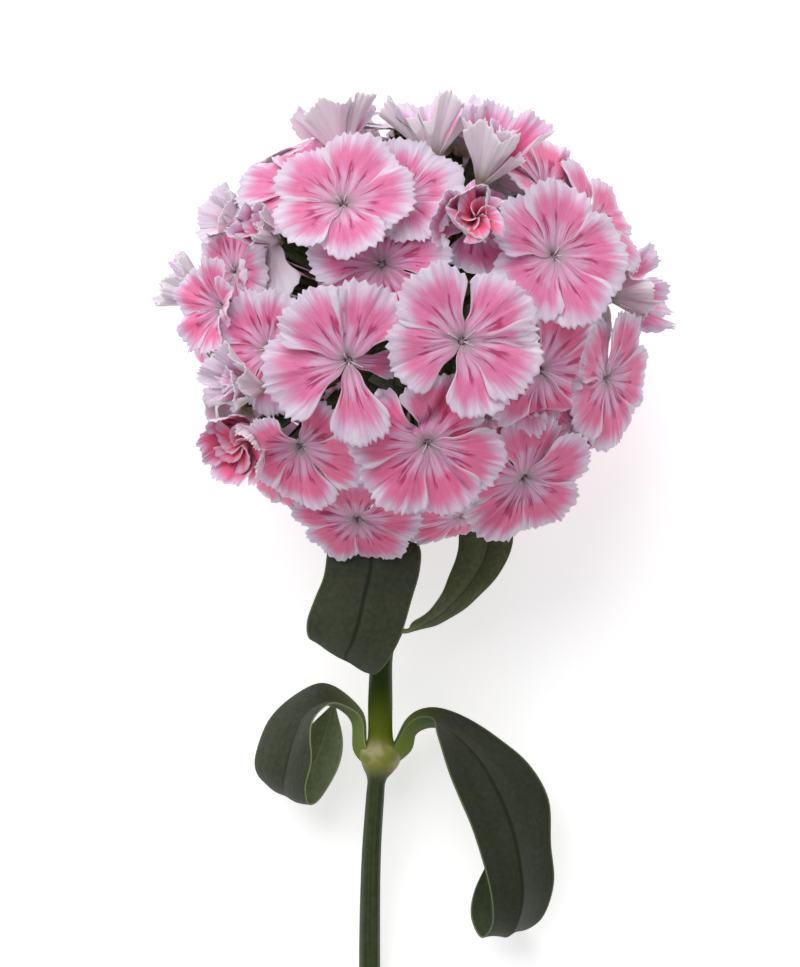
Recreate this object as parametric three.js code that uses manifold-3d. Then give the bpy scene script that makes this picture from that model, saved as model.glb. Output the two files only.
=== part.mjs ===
// A cut stem of sweet William, a small carnation with many florets in one round head, laid on a table.
// Millimetres. +X across the stem, +Y along it towards the head, +Z up. The part lies on the plane z = 0.
// The head is a ball of five-petalled florets. Each floret stands on a green calyx, and the calyces
// grow out of a branched core on top of the stem, which carries two pairs of leaves.
import * as THREE from "three";
import { mergeVertices } from "three/addons/utils/BufferGeometryUtils.js";
import Module from "manifold-3d";

const wasm = await Module();
wasm.setup();

// ---- driving dimensions ----
const GAP = 0.3; // clearance between neighbouring pieces
const HEAD = new THREE.Vector3(-0.8, 58.8, 37.2); // middle of the flower head
const DOME = 37; // from the middle of the head to the throat of a floret
const FAR_DOME = 35; // the same on the far side, where the head is pressed a little by its own weight
const PETAL_THICK = 0.7;
const LEAF_THICK = 0.9;
const THROAT_R = 0.9; // where the five petals of a floret meet
const CLAW_R = 1.2; // the petals' bundled claws, just above the calyx
const CLAW_DEPTH = 1.2;
const CALYX_TOP = CLAW_DEPTH + GAP; // below the throat
const CALYX_R = 1.9;
const CALYX_LONG = 13;
const CORE_R = 14; // the dense branching inside the head
const STEM_SIDES = 10;
const FLOOR = 0;
const SIMPLER = 0.1; // a cut edge is drawn with fewer points, no further off than this

const PETALS = 5;
const STEP = (2 * Math.PI) / PETALS; // from one petal to the next
const rad = THREE.MathUtils.degToRad;
const vec = (a) => new THREE.Vector3(...a);

/** The same number between 0 and 1 for the same pair of whole numbers. */
function chance(k, salt) {
  const x = Math.sin(k * 12.9898 + salt * 78.233) * 43758.5453;
  return x - Math.floor(x);
}

// ---- the florets ----
// toward: from the middle of the head to the throat, scaled to the dome. face: the way it looks.
// lift: above the dome. size: length of a petal. open, curl: rise of a petal at its root and its tip, in
// degrees. spin: turn of the first petal. bend: extra rise of single petals, in degrees.
const FLORETS = [
  { toward: [-11.6, 21, 32], face: [-0.12, 0.52, 0.85], lift: 3, size: 12.2, open: 24, curl: 2, spin: 68 },
  { toward: [-10.7, -6.2, 37.6], face: [-0.1, -0.08, 1], lift: 2.6, size: 13.4, open: 10, curl: -8, spin: 57,
    bend: [0, 0, 0, 0, -55] },
  { toward: [9, -2.8, 39.7], face: [0.1, 0.02, 1], lift: 3.8, size: 12.8, open: 10, curl: -6, spin: 45 },
  { toward: [3.1, -20.5, 32.6], face: [0.04, -0.38, 0.92], lift: 1.6, size: 12.6, open: 12, curl: -4, spin: 78 },
  { toward: [-19.2, -21.2, 24.1], face: [-0.42, -0.42, 0.8], lift: 0.4, size: 11, open: 12, curl: -8, spin: 60,
    bend: [0, 46, 0, 0, 0] },
  { toward: [-9.6, -35.2, 9], face: [-0.14, -0.7, 0.68], lift: -0.4, size: 10.2, open: 12, curl: -8, spin: 20 },
  { toward: [20.1, -26.9, 16.4], face: [0.42, -0.52, 0.74], lift: 0.4, size: 11.6, open: 10, curl: -6, spin: 84 },
  { toward: [22.7, -7.9, 27.4], face: [0.52, -0.04, 0.84], lift: -0.6, size: 12.8, open: 14, curl: -6, spin: 62 },
  { toward: [25.1, 12, 27], face: [0.46, 0.28, 0.84], lift: 1.8, size: 12.4, open: 16, curl: 0, spin: 10 },
  { toward: [34.6, -9.4, 9], face: [0.8, -0.15, 0.55], lift: 0, size: 11.6, open: 16, curl: -4, spin: 40 },
  { toward: [36, 5.8, 0], face: [0.97, 0.1, 0.1], lift: -2, size: 12.6, open: 60, curl: 52, spin: 20 },
  { toward: [12.5, 24.8, 23.6], face: [0.34, 0.84, 0.42], lift: -0.6, size: 14, open: 62, curl: 58, spin: 30 },
  { toward: [4, 29, 20], face: [-0.05, 0.98, 0.06], lift: -1.4, size: 12.6, open: 58, curl: 50, spin: 70 },
  { toward: [-12, 29.4, 16], face: [-0.16, 0.98, 0], lift: -1.4, size: 12, open: 66, curl: 46, spin: 50 },
  { toward: [23.6, 23.4, 11], face: [0.5, 0.7, 0.36], lift: -1.4, size: 10.2, open: 24, curl: 6, spin: 15 },
  { toward: [31.6, 17.8, 5], face: [0.72, 0.5, 0.36], lift: 0, size: 10.8, open: 24, curl: 4, spin: 60 },
  { toward: [10.8, 17.8, 29.4], face: [0.1, 0.12, 0.99], lift: -0.4, size: 12.8, open: 34, curl: 98, spin: 25,
    bend: [0, 0, -28, 0, -66] },
  { toward: [-1.7, 22.4, 28.4], face: [0.02, 0.5, 0.86], lift: -1.2, size: 10.2, open: 26, curl: 2, spin: 82 },
  { toward: [-5.4, 11.6, 36], face: [-0.08, 0.16, 0.98], lift: -2, size: 11.4, open: 14, curl: -4, spin: 18 },
  { toward: [-23.6, 15, 23.4], face: [-0.6, 0.3, 0.74], lift: -0.8, size: 10.2, open: 60, curl: 84, spin: 40,
    bend: [0, 0, 0, -84, 0] },
  { toward: [-29.3, 17.4, 8.8], face: [-0.8, 0.38, 0.46], lift: -1.6, size: 9.6, open: 64, curl: 40, spin: 33 },
  { toward: [-31.6, 9.6, 14], face: [-0.74, 0.12, 0.5], lift: -1.8, size: 9.8, open: 16, curl: -6, spin: 77 },
  { toward: [-36.2, 4.4, -3], face: [-0.86, 0.45, 0.1], lift: -0.6, size: 9.2, open: 64, curl: 64, spin: 52 },
  { toward: [-32.8, 3, 16], face: [-0.74, 0.05, 0.55], lift: 0, size: 8.8, open: 40, curl: 10, spin: 12 },
  { toward: [-26, -4.4, 26], face: [-0.5, -0.1, 0.8], lift: -1.8, size: 10.2, open: 12, curl: -6, spin: 66 },
  { toward: [-25.9, -11, 24.3], face: [-0.8, 0.1, 0.6], lift: 0.2, size: 10.4, open: 66, curl: 54, spin: 5 },
  { toward: [-34.4, -9.6, 0], face: [-0.96, -0.2, 0.1], lift: -1, size: 10.6, open: 18, curl: 0, spin: 35 },
  { toward: [-27.7, -19.5, 17.4], face: [-0.45, -0.35, 0.82], lift: 1, size: 10.8, open: 34, curl: 86, spin: 48 },
  { toward: [-24, -26.4, 5], face: [-0.56, -0.74, 0.3], lift: -1, size: 10.2, open: 12, curl: -8, spin: 27 },
  { toward: [9.6, -35, 6], face: [0.2, -0.88, 0.4], lift: -1.4, size: 10.2, open: 6, curl: -12, spin: 63 },
  { toward: [15, -17, 30], face: [0.35, -0.35, 0.87], lift: -3, size: 9, open: 8, curl: -8, spin: 12 },
  { toward: [-18.6, 24, 19.6], face: [-0.36, 0.66, 0.58], lift: -1.4, size: 9.6, open: 20, curl: 0, spin: 9 },
  { toward: [29.6, -18, 12], face: [0.72, -0.42, 0.46], lift: -1, size: 10.4, open: 14, curl: -8, spin: 71 },
  { toward: [-2, 35.6, 0], face: [-0.04, 0.98, 0.1], lift: -2, size: 10, open: 12, curl: -8, spin: 44 },
];

// The florets on the far side of the head follow a rule: points of a golden-angle spiral round the
// stem's line, taken in order where they lie clear of every floret before them.
const SPIRAL_POINTS = 700;
const GOLDEN_ANGLE = Math.PI * (3 - Math.sqrt(5));
const SPIRAL_TURN = 2.02; // where the spiral starts, in radians
const NEAREST = Math.cos(rad(26)); // closest two florets, seen from the middle of the head
const STEM_SIDE = -0.76; // no florets beyond this share of the dome towards the stem
const FAR_SIDE = 0.05; // the rule only fills below this share of the dome's height
const RIM_SIDE = -0.42; // above this they are all fully open and close to the ball
const FLAT_BELOW = -0.66; // the florets that the head lies on are all fully open

function farFlorets(placed) {
  const directions = placed.map((f) => vec(f.toward).normalize());
  const made = [];
  for (let k = 0; k < SPIRAL_POINTS; k++) {
    const y = 1 - (2 * (k + 0.5)) / SPIRAL_POINTS;
    const r = Math.sqrt(1 - y * y);
    const turn = k * GOLDEN_ANGLE + SPIRAL_TURN;
    const d = new THREE.Vector3(r * Math.cos(turn), y, r * Math.sin(turn));
    if (d.y < STEM_SIDE || d.z > FAR_SIDE || directions.some((o) => o.dot(d) > NEAREST)) continue;
    directions.push(d);
    const halfOpen = chance(k, 3) > 0.6 && d.z > FLAT_BELOW && d.z < RIM_SIDE;
    made.push({
      toward: d.toArray(),
      face: [d.x + 0.16 * (chance(k, 1) - 0.5), d.y + 0.16 * (chance(k, 2) - 0.5), d.z],
      lift: 1.4 * ((made.length % 3) - 1) + FAR_DOME - DOME,
      size: 11.6 + 1.2 * chance(k, 4),
      open: halfOpen ? 44 : 12,
      curl: halfOpen ? 18 : -8,
      spin: 72 * chance(k, 5),
      far: true,
    });
  }
  return made;
}

/** Adds each floret's throat, the three directions of its own frame, and its number. */
function placeFlorets(list) {
  return list.map((f, index) => {
    const out = vec(f.toward).normalize();
    const axis = vec(f.face).normalize();
    const throat = out.multiplyScalar(DOME + f.lift).add(HEAD);
    const level = Math.abs(axis.x) < 0.8 ? new THREE.Vector3(1, 0, 0) : new THREE.Vector3(0, 0, 1);
    const u = level.addScaledVector(axis, -level.dot(axis)).normalize();
    const v = new THREE.Vector3().crossVectors(axis, u);
    return { ...f, index, throat, axis, u, v };
  });
}

/** A petal's midline: distance from the axis and height, where its rise turns evenly from open to curl. */
function midline(f, share, bend) {
  const a = rad(f.open + bend);
  const b = rad(f.curl + bend);
  const long = f.size * share;
  const at = a + (b - a) * share;
  const turn = (at - a) / 2;
  const chord = Math.abs(turn) < 1e-6 ? long : (long * Math.sin(turn)) / turn;
  return [THROAT_R + chord * Math.cos(a + turn), chord * Math.sin(a + turn)];
}

/** The extra rise of one petal of a floret, in degrees: its own bend and a small chance one. */
function petalBend(f, k) {
  return (f.bend ? f.bend[k] : 0) + 8 * (chance(f.index * PETALS + k, 7) - 0.5);
}

const PINWHEEL = 0.05; // one side of a petal lies this much of its length above the other
/** A point of petal k: across from -1 to 1, share of its length from 0 to 1. */
function petalPoint(f, k, across, share) {
  const [out, up] = midline(f, share, petalBend(f, k));
  const turn = rad(f.spin) + k * STEP + (across * STEP) / 2;
  const high = up + PINWHEEL * f.size * share * across;
  return f.throat
    .clone()
    .addScaledVector(f.u, out * Math.cos(turn))
    .addScaledVector(f.v, out * Math.sin(turn))
    .addScaledVector(f.axis, high);
}

const FLAT = 35; // a floret whose petals rise less than this lies over its neighbours like a lid
const TUCK = 1.15; // how far a petal is tucked under the floret above it
const REACH = 9; // a point further above the lid than this isn't under it

/** How far a point lies above the petals of a floret, along its axis, and how far out from its throat. */
function overLid(lid, point) {
  const from = point.clone().sub(lid.throat);
  const high = from.dot(lid.axis);
  const out = Math.sqrt(Math.max(0, from.lengthSq() - high * high));
  const turn = Math.atan2(from.dot(lid.v), from.dot(lid.u)) - rad(lid.spin);
  const petal = Math.round(turn / STEP);
  const across = (turn / STEP - petal) * 2;
  const k = ((petal % PETALS) + PETALS) % PETALS;
  const mean = rad((lid.open + lid.curl) / 2);
  const share = Math.min(1, Math.max(0, (out - THROAT_R) / (lid.size * Math.cos(mean))));
  const [, up] = midline(lid, share, petalBend(lid, k));
  return { over: high - up - PINWHEEL * lid.size * share * across, out };
}

/** Bends a point of floret f clear: below every floret that lies over it, and above the table. */
function bendClear(f, point, share, florets) {
  const give = THREE.MathUtils.smoothstep(share, 0.12, 0.5);
  const lids = florets.filter((l) => l.lift > f.lift && l.open < FLAT && l.throat.distanceTo(f.throat) < 2.2 * l.size);
  lids.sort((a, b) => a.lift - b.lift);
  let between = 1; // a lid two florets up leaves room for the one between
  for (const lid of lids) {
    const { over, out } = overLid(lid, point);
    const edge = Math.max(0, out - lid.size - 1.6);
    const high = over + between * TUCK - 1.4 * edge;
    if (high > 0 && high < REACH) {
      point.addScaledVector(lid.axis, -high * give);
      if (edge === 0) between += 1;
    }
  }
  point.z = Math.max(point.z, FLOOR + PETAL_THICK / 2);
  return point;
}

// ---- solids ----
function solidOf(points, triangles) {
  const mesh = new wasm.Mesh({
    numProp: 3,
    vertProperties: new Float32Array(points.flatMap((p) => p.toArray())),
    triVerts: new Uint32Array(triangles.flat()),
  });
  return new wasm.Manifold(mesh);
}

function solidOfGeometry(geometry) {
  const bare = geometry.clone();
  bare.deleteAttribute("normal");
  bare.deleteAttribute("uv");
  const merged = mergeVertices(bare, 1e-4);
  return new wasm.Manifold(
    new wasm.Mesh({
      numProp: 3,
      vertProperties: merged.attributes.position.array,
      triVerts: new Uint32Array(merged.index.array),
    }),
  );
}

function geometryOf(solid) {
  const mesh = solid.getMesh();
  const position = new Float32Array(mesh.numVert * 3);
  for (let i = 0; i < mesh.numVert; i++) {
    position.set(mesh.vertProperties.subarray(i * mesh.numProp, i * mesh.numProp + 3), i * 3);
  }
  const geometry = new THREE.BufferGeometry();
  geometry.setAttribute("position", new THREE.BufferAttribute(position, 3));
  geometry.setIndex(new THREE.BufferAttribute(new Uint32Array(mesh.triVerts), 1));
  geometry.computeVertexNormals();
  return geometry;
}

/** The largest body of a solid, without the loose scraps that a cut leaves. */
function largestBody(solid) {
  return solid.decompose().reduce((a, b) => (a.volume() > b.volume() ? a : b));
}

/** Vertex normals of an open sheet, by the area of the triangles that meet there. */
function sheetNormals(points, triangles) {
  const normals = points.map(() => new THREE.Vector3());
  for (const [a, b, c] of triangles) {
    const ab = points[b].clone().sub(points[a]);
    const area = ab.cross(points[c].clone().sub(points[a]));
    for (const i of [a, b, c]) normals[i].add(area);
  }
  return normals.map((n) => n.normalize());
}

/**
 * Both skins of a sheet, thick apart, and the walls round its rim, which runs the same way as the triangles.
 * The way across the sheet is taken from its shape, which may be narrower than the points themselves.
 */
function sheetSkins(points, triangles, rim, thick, shape = points) {
  const normals = sheetNormals(shape, triangles);
  const pressed = (p) => p.z <= FLOOR + PETAL_THICK / 2 + 1e-6; // flat on the table
  const side = (s) =>
    points.map((p, i) => {
      const q = p.clone().addScaledVector(normals[i], (s * thick) / 2);
      return pressed(p) && q.z < p.z ? q.setZ(p.z - thick / 2) : q;
    });
  const count = points.length;
  const walls = rim.flatMap((a, i) => {
    const b = rim[(i + 1) % rim.length];
    return [
      [a, a + count, b],
      [b, a + count, b + count],
    ];
  });
  return { skins: [...side(1), ...side(-1)], walls, count };
}

// ---- a floret: five toothed petals in one sheet, slit between them, on a short claw ----
const SLIT = 0.42; // how far out two petals stay joined, as a share of their length
const MIDDLE = 0.55;
// The toothed edge of a petal: across, share of its length. The far side of the head has fewer teeth.
const TOOTHED = [[-0.97, 0.84], [-0.66, 1.02], [-0.33, 0.93], [0, 1.03], [0.33, 0.93], [0.66, 1.02], [0.97, 0.84]];
const BLUNT = [[-0.97, 0.86], [-0.5, 1.02], [0, 0.94], [0.5, 1.02], [0.97, 0.86]];

/** The sheet of a floret's five petals: its points, triangles and rim, already bent clear. */
function floretSheet(f, florets) {
  const place = (k, across, share) => bendClear(f, petalPoint(f, k, across, share), share, florets);
  const points = [f.throat.clone()];
  const triangles = [];
  const joint = (k) => 1 + 2 * (k % PETALS);
  const middle = (k) => 2 + 2 * k;
  for (let k = 0; k < PETALS; k++) {
    const before = (k + PETALS - 1) % PETALS;
    const between = place(k, -1, SLIT).add(place(before, 1, SLIT)).multiplyScalar(0.5);
    points.push(between, place(k, 0, MIDDLE));
  }
  const rim = [];
  for (let k = 0; k < PETALS; k++) {
    triangles.push([0, joint(k), middle(k)], [0, middle(k), joint(k + 1)]);
    const edge = [joint(k)];
    (f.far ? BLUNT : TOOTHED).forEach(([across, share], i) => {
      edge.push(points.length);
      const ragged = 0.05 * (chance(f.index * 50 + k * 10 + i, 8) - 0.5);
      points.push(place(k, across, share + ragged));
    });
    edge.push(joint(k + 1));
    for (let i = 0; i + 1 < edge.length; i++) triangles.push([middle(k), edge[i], edge[i + 1]]);
    rim.push(...edge.slice(0, -1));
  }
  return { points, triangles, rim };
}

function floretSolid(f, { points, triangles, rim }, grow = 0) {
  const edge = new Set(rim);
  const wide = points.map((p, i) => {
    return edge.has(i) ? p.clone().sub(f.throat).setLength(grow).add(p) : p;
  });
  const { skins, walls, count } = sheetSkins(wide, triangles, rim, PETAL_THICK + 2 * grow, points);
  // Under the throat the lower skin opens into the claw instead of closing at its middle.
  const claw = skins.length;
  for (const down of [PETAL_THICK / 2 + grow, CLAW_DEPTH]) {
    for (let k = 0; k < PETALS; k++) {
      const turn = rad(f.spin) + (k - 0.5) * STEP;
      const r = CLAW_R + grow;
      const p = f.throat.clone().addScaledVector(f.axis, -down);
      skins.push(p.addScaledVector(f.u, r * Math.cos(turn)).addScaledVector(f.v, r * Math.sin(turn)));
    }
  }
  const lower = triangles.filter((t) => t[0] !== 0).map(([a, b, c]) => [a + count, c + count, b + count]);
  const faces = [...triangles, ...lower, ...walls];
  for (let k = 0; k < PETALS; k++) {
    const [top, topNext] = [claw + k, claw + ((k + 1) % PETALS)];
    const [joint, middle, jointNext] = [1 + 2 * k, 2 + 2 * k, 1 + 2 * ((k + 1) % PETALS)].map((i) => i + count);
    faces.push([top, middle, joint], [top, topNext, middle], [middle, topNext, jointNext]);
    faces.push([top, top + PETALS, topNext], [topNext, top + PETALS, topNext + PETALS]);
    if (k > 1) faces.push([claw + PETALS, claw + PETALS + k, claw + PETALS + k - 1]);
  }
  // The middle of the lower skin isn't used, so the points after it move up by one.
  skins.splice(count, 1);
  return solidOf(skins, faces.map((t) => t.map((i) => (i > count ? i - 1 : i))));
}

// ---- rods: a ring of sides carried along a path, with a radius at each station ----
function rodSolid(path, radii, sides) {
  const points = [];
  const triangles = [];
  path.forEach((p, i) => {
    const before = path[Math.max(0, i - 1)];
    const after = path[Math.min(path.length - 1, i + 1)];
    const along = after.clone().sub(before).normalize();
    const across = new THREE.Vector3(1, 0, 0);
    if (Math.abs(along.x) > 0.9) across.set(0, 0, 1);
    across.addScaledVector(along, -across.dot(along)).normalize();
    const up = new THREE.Vector3().crossVectors(along, across);
    for (let s = 0; s < sides; s++) {
      const turn = (s * 2 * Math.PI) / sides;
      const q = p.clone().addScaledVector(across, radii[i] * Math.cos(turn));
      points.push(q.addScaledVector(up, radii[i] * Math.sin(turn)));
    }
  });
  for (let i = 0; i + 1 < path.length; i++) {
    for (let s = 0; s < sides; s++) {
      const [a, b] = [i * sides + s, i * sides + ((s + 1) % sides)];
      triangles.push([a, b, a + sides], [b, b + sides, a + sides]);
    }
  }
  const last = (path.length - 1) * sides;
  for (let s = 1; s + 1 < sides; s++) {
    triangles.push([0, s + 1, s], [last, last + s, last + s + 1]);
  }
  return solidOf(points, triangles);
}

// ---- calyces, branches and core of the head, in one green piece ----
function calyxPath(f) {
  const inward = (d) => f.throat.clone().addScaledVector(f.axis, -d);
  const root = inward(CALYX_TOP + CALYX_LONG).sub(HEAD).setLength(CORE_R - 4).add(HEAD);
  return [inward(CALYX_TOP), inward(CALYX_TOP + 6), root];
}

function calyxSolid(f, grow = 0) {
  const radii = [CALYX_R * 0.95, CALYX_R, 0.8].map((r) => r + grow);
  return rodSolid(calyxPath(f), radii, 5);
}

const HUB = new THREE.Vector3(-1.8, -33, -7).add(HEAD); // where the stem ends and the head branches
const BRANCHES = 6;
function stalksSolid(florets) {
  const core = solidOfGeometry(new THREE.IcosahedronGeometry(CORE_R, 1).translate(...HEAD.toArray()));
  const down = HUB.clone().sub(HEAD).normalize();
  const side = new THREE.Vector3().crossVectors(down, new THREE.Vector3(0, 0, 1)).normalize();
  const branches = Array.from({ length: BRANCHES }, (_, b) => {
    const turn = (b * 2 * Math.PI) / BRANCHES;
    const spread = side.clone().applyAxisAngle(down, turn);
    const end = HEAD.clone().addScaledVector(down, CORE_R * 0.5).addScaledVector(spread, CORE_R * 0.55);
    const start = HUB.clone().addScaledVector(down, -1.2).addScaledVector(spread, 0.7);
    return rodSolid([start, end], [1.3, 1.5], 5);
  });
  const foot = rodSolid([-0.4, -4].map((d) => HUB.clone().addScaledVector(down, d)), [2.3, 2], 8);
  return wasm.Manifold.union([core, foot, ...branches, ...florets.map((f) => calyxSolid(f))]).simplify(SIMPLER);
}

// ---- the stem ----
// Along the stem from near the cut end to the hub: place from the middle of the head, and radius.
const STEM = [
  [-7.4, -130, -34.9, 1.95],
  [-7.4, -112, -31.2, 1.9],
  [-7.1, -97.5, -28.2, 1.75],
  [-6.4, -86.5, -25.4, 1.65],
  [-6.1, -83, -24.5, 1.7],
  [-5.8, -80.8, -23.9, 2.9],
  [-5.5, -79, -23.4, 3.7],
  [-5.4, -77.2, -22.9, 3.6],
  [-5.4, -75.2, -22.3, 2.3],
  [-5.4, -68, -20, 2.2],
  [-5.2, -61, -17.6, 2],
  [-4.6, -57.6, -16.2, 2],
  [-4, -55.2, -15.2, 2.7],
  [-3.6, -53, -14.4, 2.2],
  [-2.7, -44, -11.2, 1.9],
];
const CUT = { x: -7.3, y: -160, r: 2, rests: 12, slant: 0.35 }; // the cut end, lying on the table

function stemSolid(grow = 0) {
  // With ten sides the lowest face is level, at this share of the radius below the middle line.
  const low = FLOOR + CUT.r * Math.cos(Math.PI / STEM_SIDES);
  const lying = [-4, CUT.rests].map((dy) => new THREE.Vector3(HEAD.x + CUT.x, HEAD.y + CUT.y + dy, low));
  const path = [...lying, ...STEM.map(([x, y, z]) => new THREE.Vector3(x, y, z).add(HEAD))];
  const top = HUB.clone().sub(path.at(-1)).normalize();
  path.push(HUB.clone().addScaledVector(top, grow - GAP));
  const radii = [CUT.r, CUT.r, ...STEM.map((s) => s[3]), 2.1].map((r) => r + grow);
  const cutFace = new THREE.Vector3(0, 1, -CUT.slant).normalize();
  const end = new THREE.Vector3(HEAD.x + CUT.x, HEAD.y + CUT.y, FLOOR);
  return rodSolid(path, radii, STEM_SIDES).trimByPlane(cutFace.toArray(), cutFace.dot(end));
}

// ---- leaves ----
// Rows along each leaf, from its joint on the stem to its tip. A row is a point of the hidden margin, one of
// the midrib and one of the margin nearest the eye. The blade is a gutter that bends over and curls back.
const LEAVES = [
  {
    name: "leaf_lower_left",
    joint: [-5.6, -80.6, -23.6],
    rows: [
      [[-1.6, 1.4, -2.4], [-2.6, 0.8, 0.3], [-1.6, 1.4, 2.8]],
      [[-2.4, 4.7, -2.4], [-4.4, 3.4, 0.2], [-2.6, 4.7, 2.6]],
      [[-3, 9.8, -2.4], [-4.7, 8.2, 0.4], [-3.5, 9.5, 3.2]],
      [[-6.6, 13.6, -2], [-7, 10.8, 1.2], [-7, 11.8, 4.4]],
      [[-11, 15.2, -1.6], [-10, 11.6, 2.2], [-9.7, 11.5, 6.4]],
      [[-15.9, 12.7, -2], [-13.4, 9.6, 3.6], [-11.8, 9.5, 8.4]],
      [[-20.4, 8, -2], [-15.3, 5.1, 4.8], [-12.4, 6, 10]],
      [[-22.6, 2, -1.6], [-16.6, 0.5, 4.8], [-12.3, 1.5, 10.2]],
      [[-22, -1.8, -3], [-17.3, -3.3, 2.6], [-13.3, -3.3, 8.4]],
      [[-19.8, -3.6, -5], [-16.8, -5.2, -1.2], [-12.9, -6.4, 4.4]],
      [[-17.5, -1.5, -6.4], [-14.5, -4, -4.4], [-10.8, -5.6, 0]],
      [[-15.2, 2.9, -6.8], [-12, 0, -5.6], [-7.6, -0.4, -1.4]],
      [[-12.8, 7, -6.2], [-10, 5, -5.2], [-6.8, 5, -1.8]],
      [[-8.8, 11, -4.4], [-8.4, 11.2, -4.2], [-8, 10.8, -3.8]],
    ],
  },
  {
    name: "leaf_lower_right",
    joint: [-5.6, -80.6, -23.6],
    rows: [
      [[1.8, 2, -2.4], [2.8, 0.9, 0.3], [1.8, 1.8, 2.8]],
      [[3, 4.9, -2.4], [5.5, 3.3, 0.2], [3.2, 4.7, 2.8]],
      [[4.7, 8.4, -2], [6.4, 6.2, 0.6], [4.7, 7.5, 3.2]],
      [[7.4, 10.4, -1.6], [8.6, 7.5, 1.2], [7.2, 9.3, 4.2]],
      [[11, 10.8, -1.4], [11, 7.5, 2.6], [9.9, 9.2, 6.2]],
      [[15.5, 9.1, -1], [13.7, 6, 4], [10.6, 6.2, 8.4]],
      [[21.5, 5.5, 0], [17.7, 2, 6], [12.4, 0.5, 10]],
      [[27, 0.9, 1], [21.1, -3.5, 7.4], [14.8, -5.5, 10.6]],
      [[30.8, -5.8, 1.6], [23.9, -10.4, 8], [17, -10.9, 10.6]],
      [[31.3, -14, 1.6], [25.5, -17.6, 8], [19.2, -17.8, 10.4]],
      [[31.7, -21.3, 0], [25.9, -24, 6], [20.4, -23.6, 8.8]],
      [[29.7, -28, -4], [24.4, -29.6, 1.6], [20.5, -28.6, 5]],
      [[25.7, -30.4, -7.4], [22.4, -31, -3.4], [18.6, -31, 0.4]],
      [[23.9, -27.4, -9.4], [20.6, -28, -7], [16.8, -27.6, -3.4]],
      [[22.8, -23, -9.8], [20.2, -23.5, -8.4], [17.2, -23.6, -5.6]],
      [[20.4, -18.4, -9], [20, -18.2, -8.6], [19.6, -18.6, -8.2]],
    ],
  },
  {
    name: "leaf_upper_left",
    joint: [-4, -55.4, -15.2],
    rows: [
      [[-2.4, 0.4, 1.6], [0, 0, 2.4], [2.6, 0.4, 1.6]],
      [[-3.4, 5, 4.2], [-0.2, 4.6, 4.6], [3, 4.6, 4.2]],
      [[-5.8, 10.6, 6.8], [-1, 10, 7.2], [3.8, 9.6, 6.8]],
      [[-8.2, 16, 9], [-1.8, 15.2, 9.6], [4.8, 14.4, 9]],
      [[-9.4, 18, 11.6], [-2.4, 17.2, 12.4], [5.4, 16, 11.6]],
      [[-10.6, 16, 13.4], [-2.8, 15, 14.4], [6, 14.4, 13.4]],
      [[-11.4, 10.6, 13.8], [-3.2, 11.3, 14.8], [5.6, 10.8, 13.8]],
      [[-13, 6.6, 13.6], [-4.2, 6.9, 14.8], [4.4, 6.6, 13.8]],
      [[-14.4, 2.5, 13], [-5.2, 2.4, 14.6], [3.2, 2.4, 13.4]],
      [[-14.2, -0.6, 11.2], [-6.4, -1.2, 13], [1.8, -1.6, 12]],
      [[-12.4, -1.8, 8], [-7.6, -4, 9.8], [-0.6, -5.8, 9.2]],
      [[-10.8, -2.6, 5.2], [-6.6, -5.2, 6.6], [-2.8, -7.4, 5.8]],
      [[-10, -2, 4], [-6.4, -4, 4.6], [-3, -5.4, 4.4]],
      [[-8, 2, 3.8], [-5.6, 1.2, 4], [-3.4, 0.6, 4]],
      [[-4.9, 5.2, 4], [-4.6, 5.2, 4], [-4.2, 5, 4]],
    ],
  },
  {
    name: "leaf_upper_right",
    joint: [-4, -55.4, -15.2],
    rows: [
      [[1.8, -0.2, -3], [2, 0, -1.2], [1.8, 0.3, 0.6]],
      [[3.6, -0.2, -3.2], [3.6, 0, -1.4], [3.6, 0.5, 0.6]],
      [[6.6, 0.4, -4], [6.1, 1.1, -1.6], [4.8, 1.8, 0.6]],
      [[10.5, 1.7, -4.8], [9.2, 2.9, -2.2], [8, 4.2, 0.4]],
      [[14.8, 4.6, -5.8], [12.4, 5.7, -3.4], [10, 7.4, -1]],
      [[18.8, 8.4, -7], [15.2, 8.9, -5], [11.6, 11.2, -3]],
      [[21.5, 12.2, -8.8], [17.2, 12.2, -7], [12.8, 14.8, -5.4]],
      [[22.8, 16.2, -11], [18.5, 15.7, -9.4], [13, 18, -8.4]],
      [[22.5, 19.5, -13.2], [19.2, 18.7, -12.2], [15, 20.6, -11.6]],
      [[19.6, 21.6, -15], [19.3, 21.4, -15], [19, 21.6, -14.9]],
    ],
  },
];

function leafSolid(leaf, grow = 0) {
  const from = vec(leaf.joint).add(HEAD);
  const points = [];
  for (const row of leaf.rows) {
    const [far, rib, near] = row.map((p) => vec(p).add(from));
    const out = (p) => p.clone().sub(rib).setLength(grow).add(p);
    const half = (p) => p.clone().add(rib).multiplyScalar(0.5);
    points.push(out(far), half(far), rib, half(near), out(near));
  }
  const n = 5;
  const rowCount = leaf.rows.length;
  const triangles = [];
  for (let i = 0; i + 1 < rowCount; i++) {
    for (let j = 0; j + 1 < n; j++) {
      const a = i * n + j;
      triangles.push([a, a + 1, a + n], [a + 1, a + n + 1, a + n]);
    }
  }
  const last = (rowCount - 1) * n;
  const rim = [];
  for (let j = 0; j + 1 < n; j++) rim.push(j);
  for (let i = 0; i + 1 < rowCount; i++) rim.push(i * n + n - 1);
  for (let j = n - 1; j > 0; j--) rim.push(last + j);
  for (let i = rowCount - 1; i > 0; i--) rim.push(i * n);
  const { skins, walls, count } = sheetSkins(points, triangles, rim, LEAF_THICK + 2 * grow);
  const faces = [...triangles, ...triangles.map(([a, b, c]) => [a + count, c + count, b + count]), ...walls];
  return solidOf(skins, faces);
}

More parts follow.
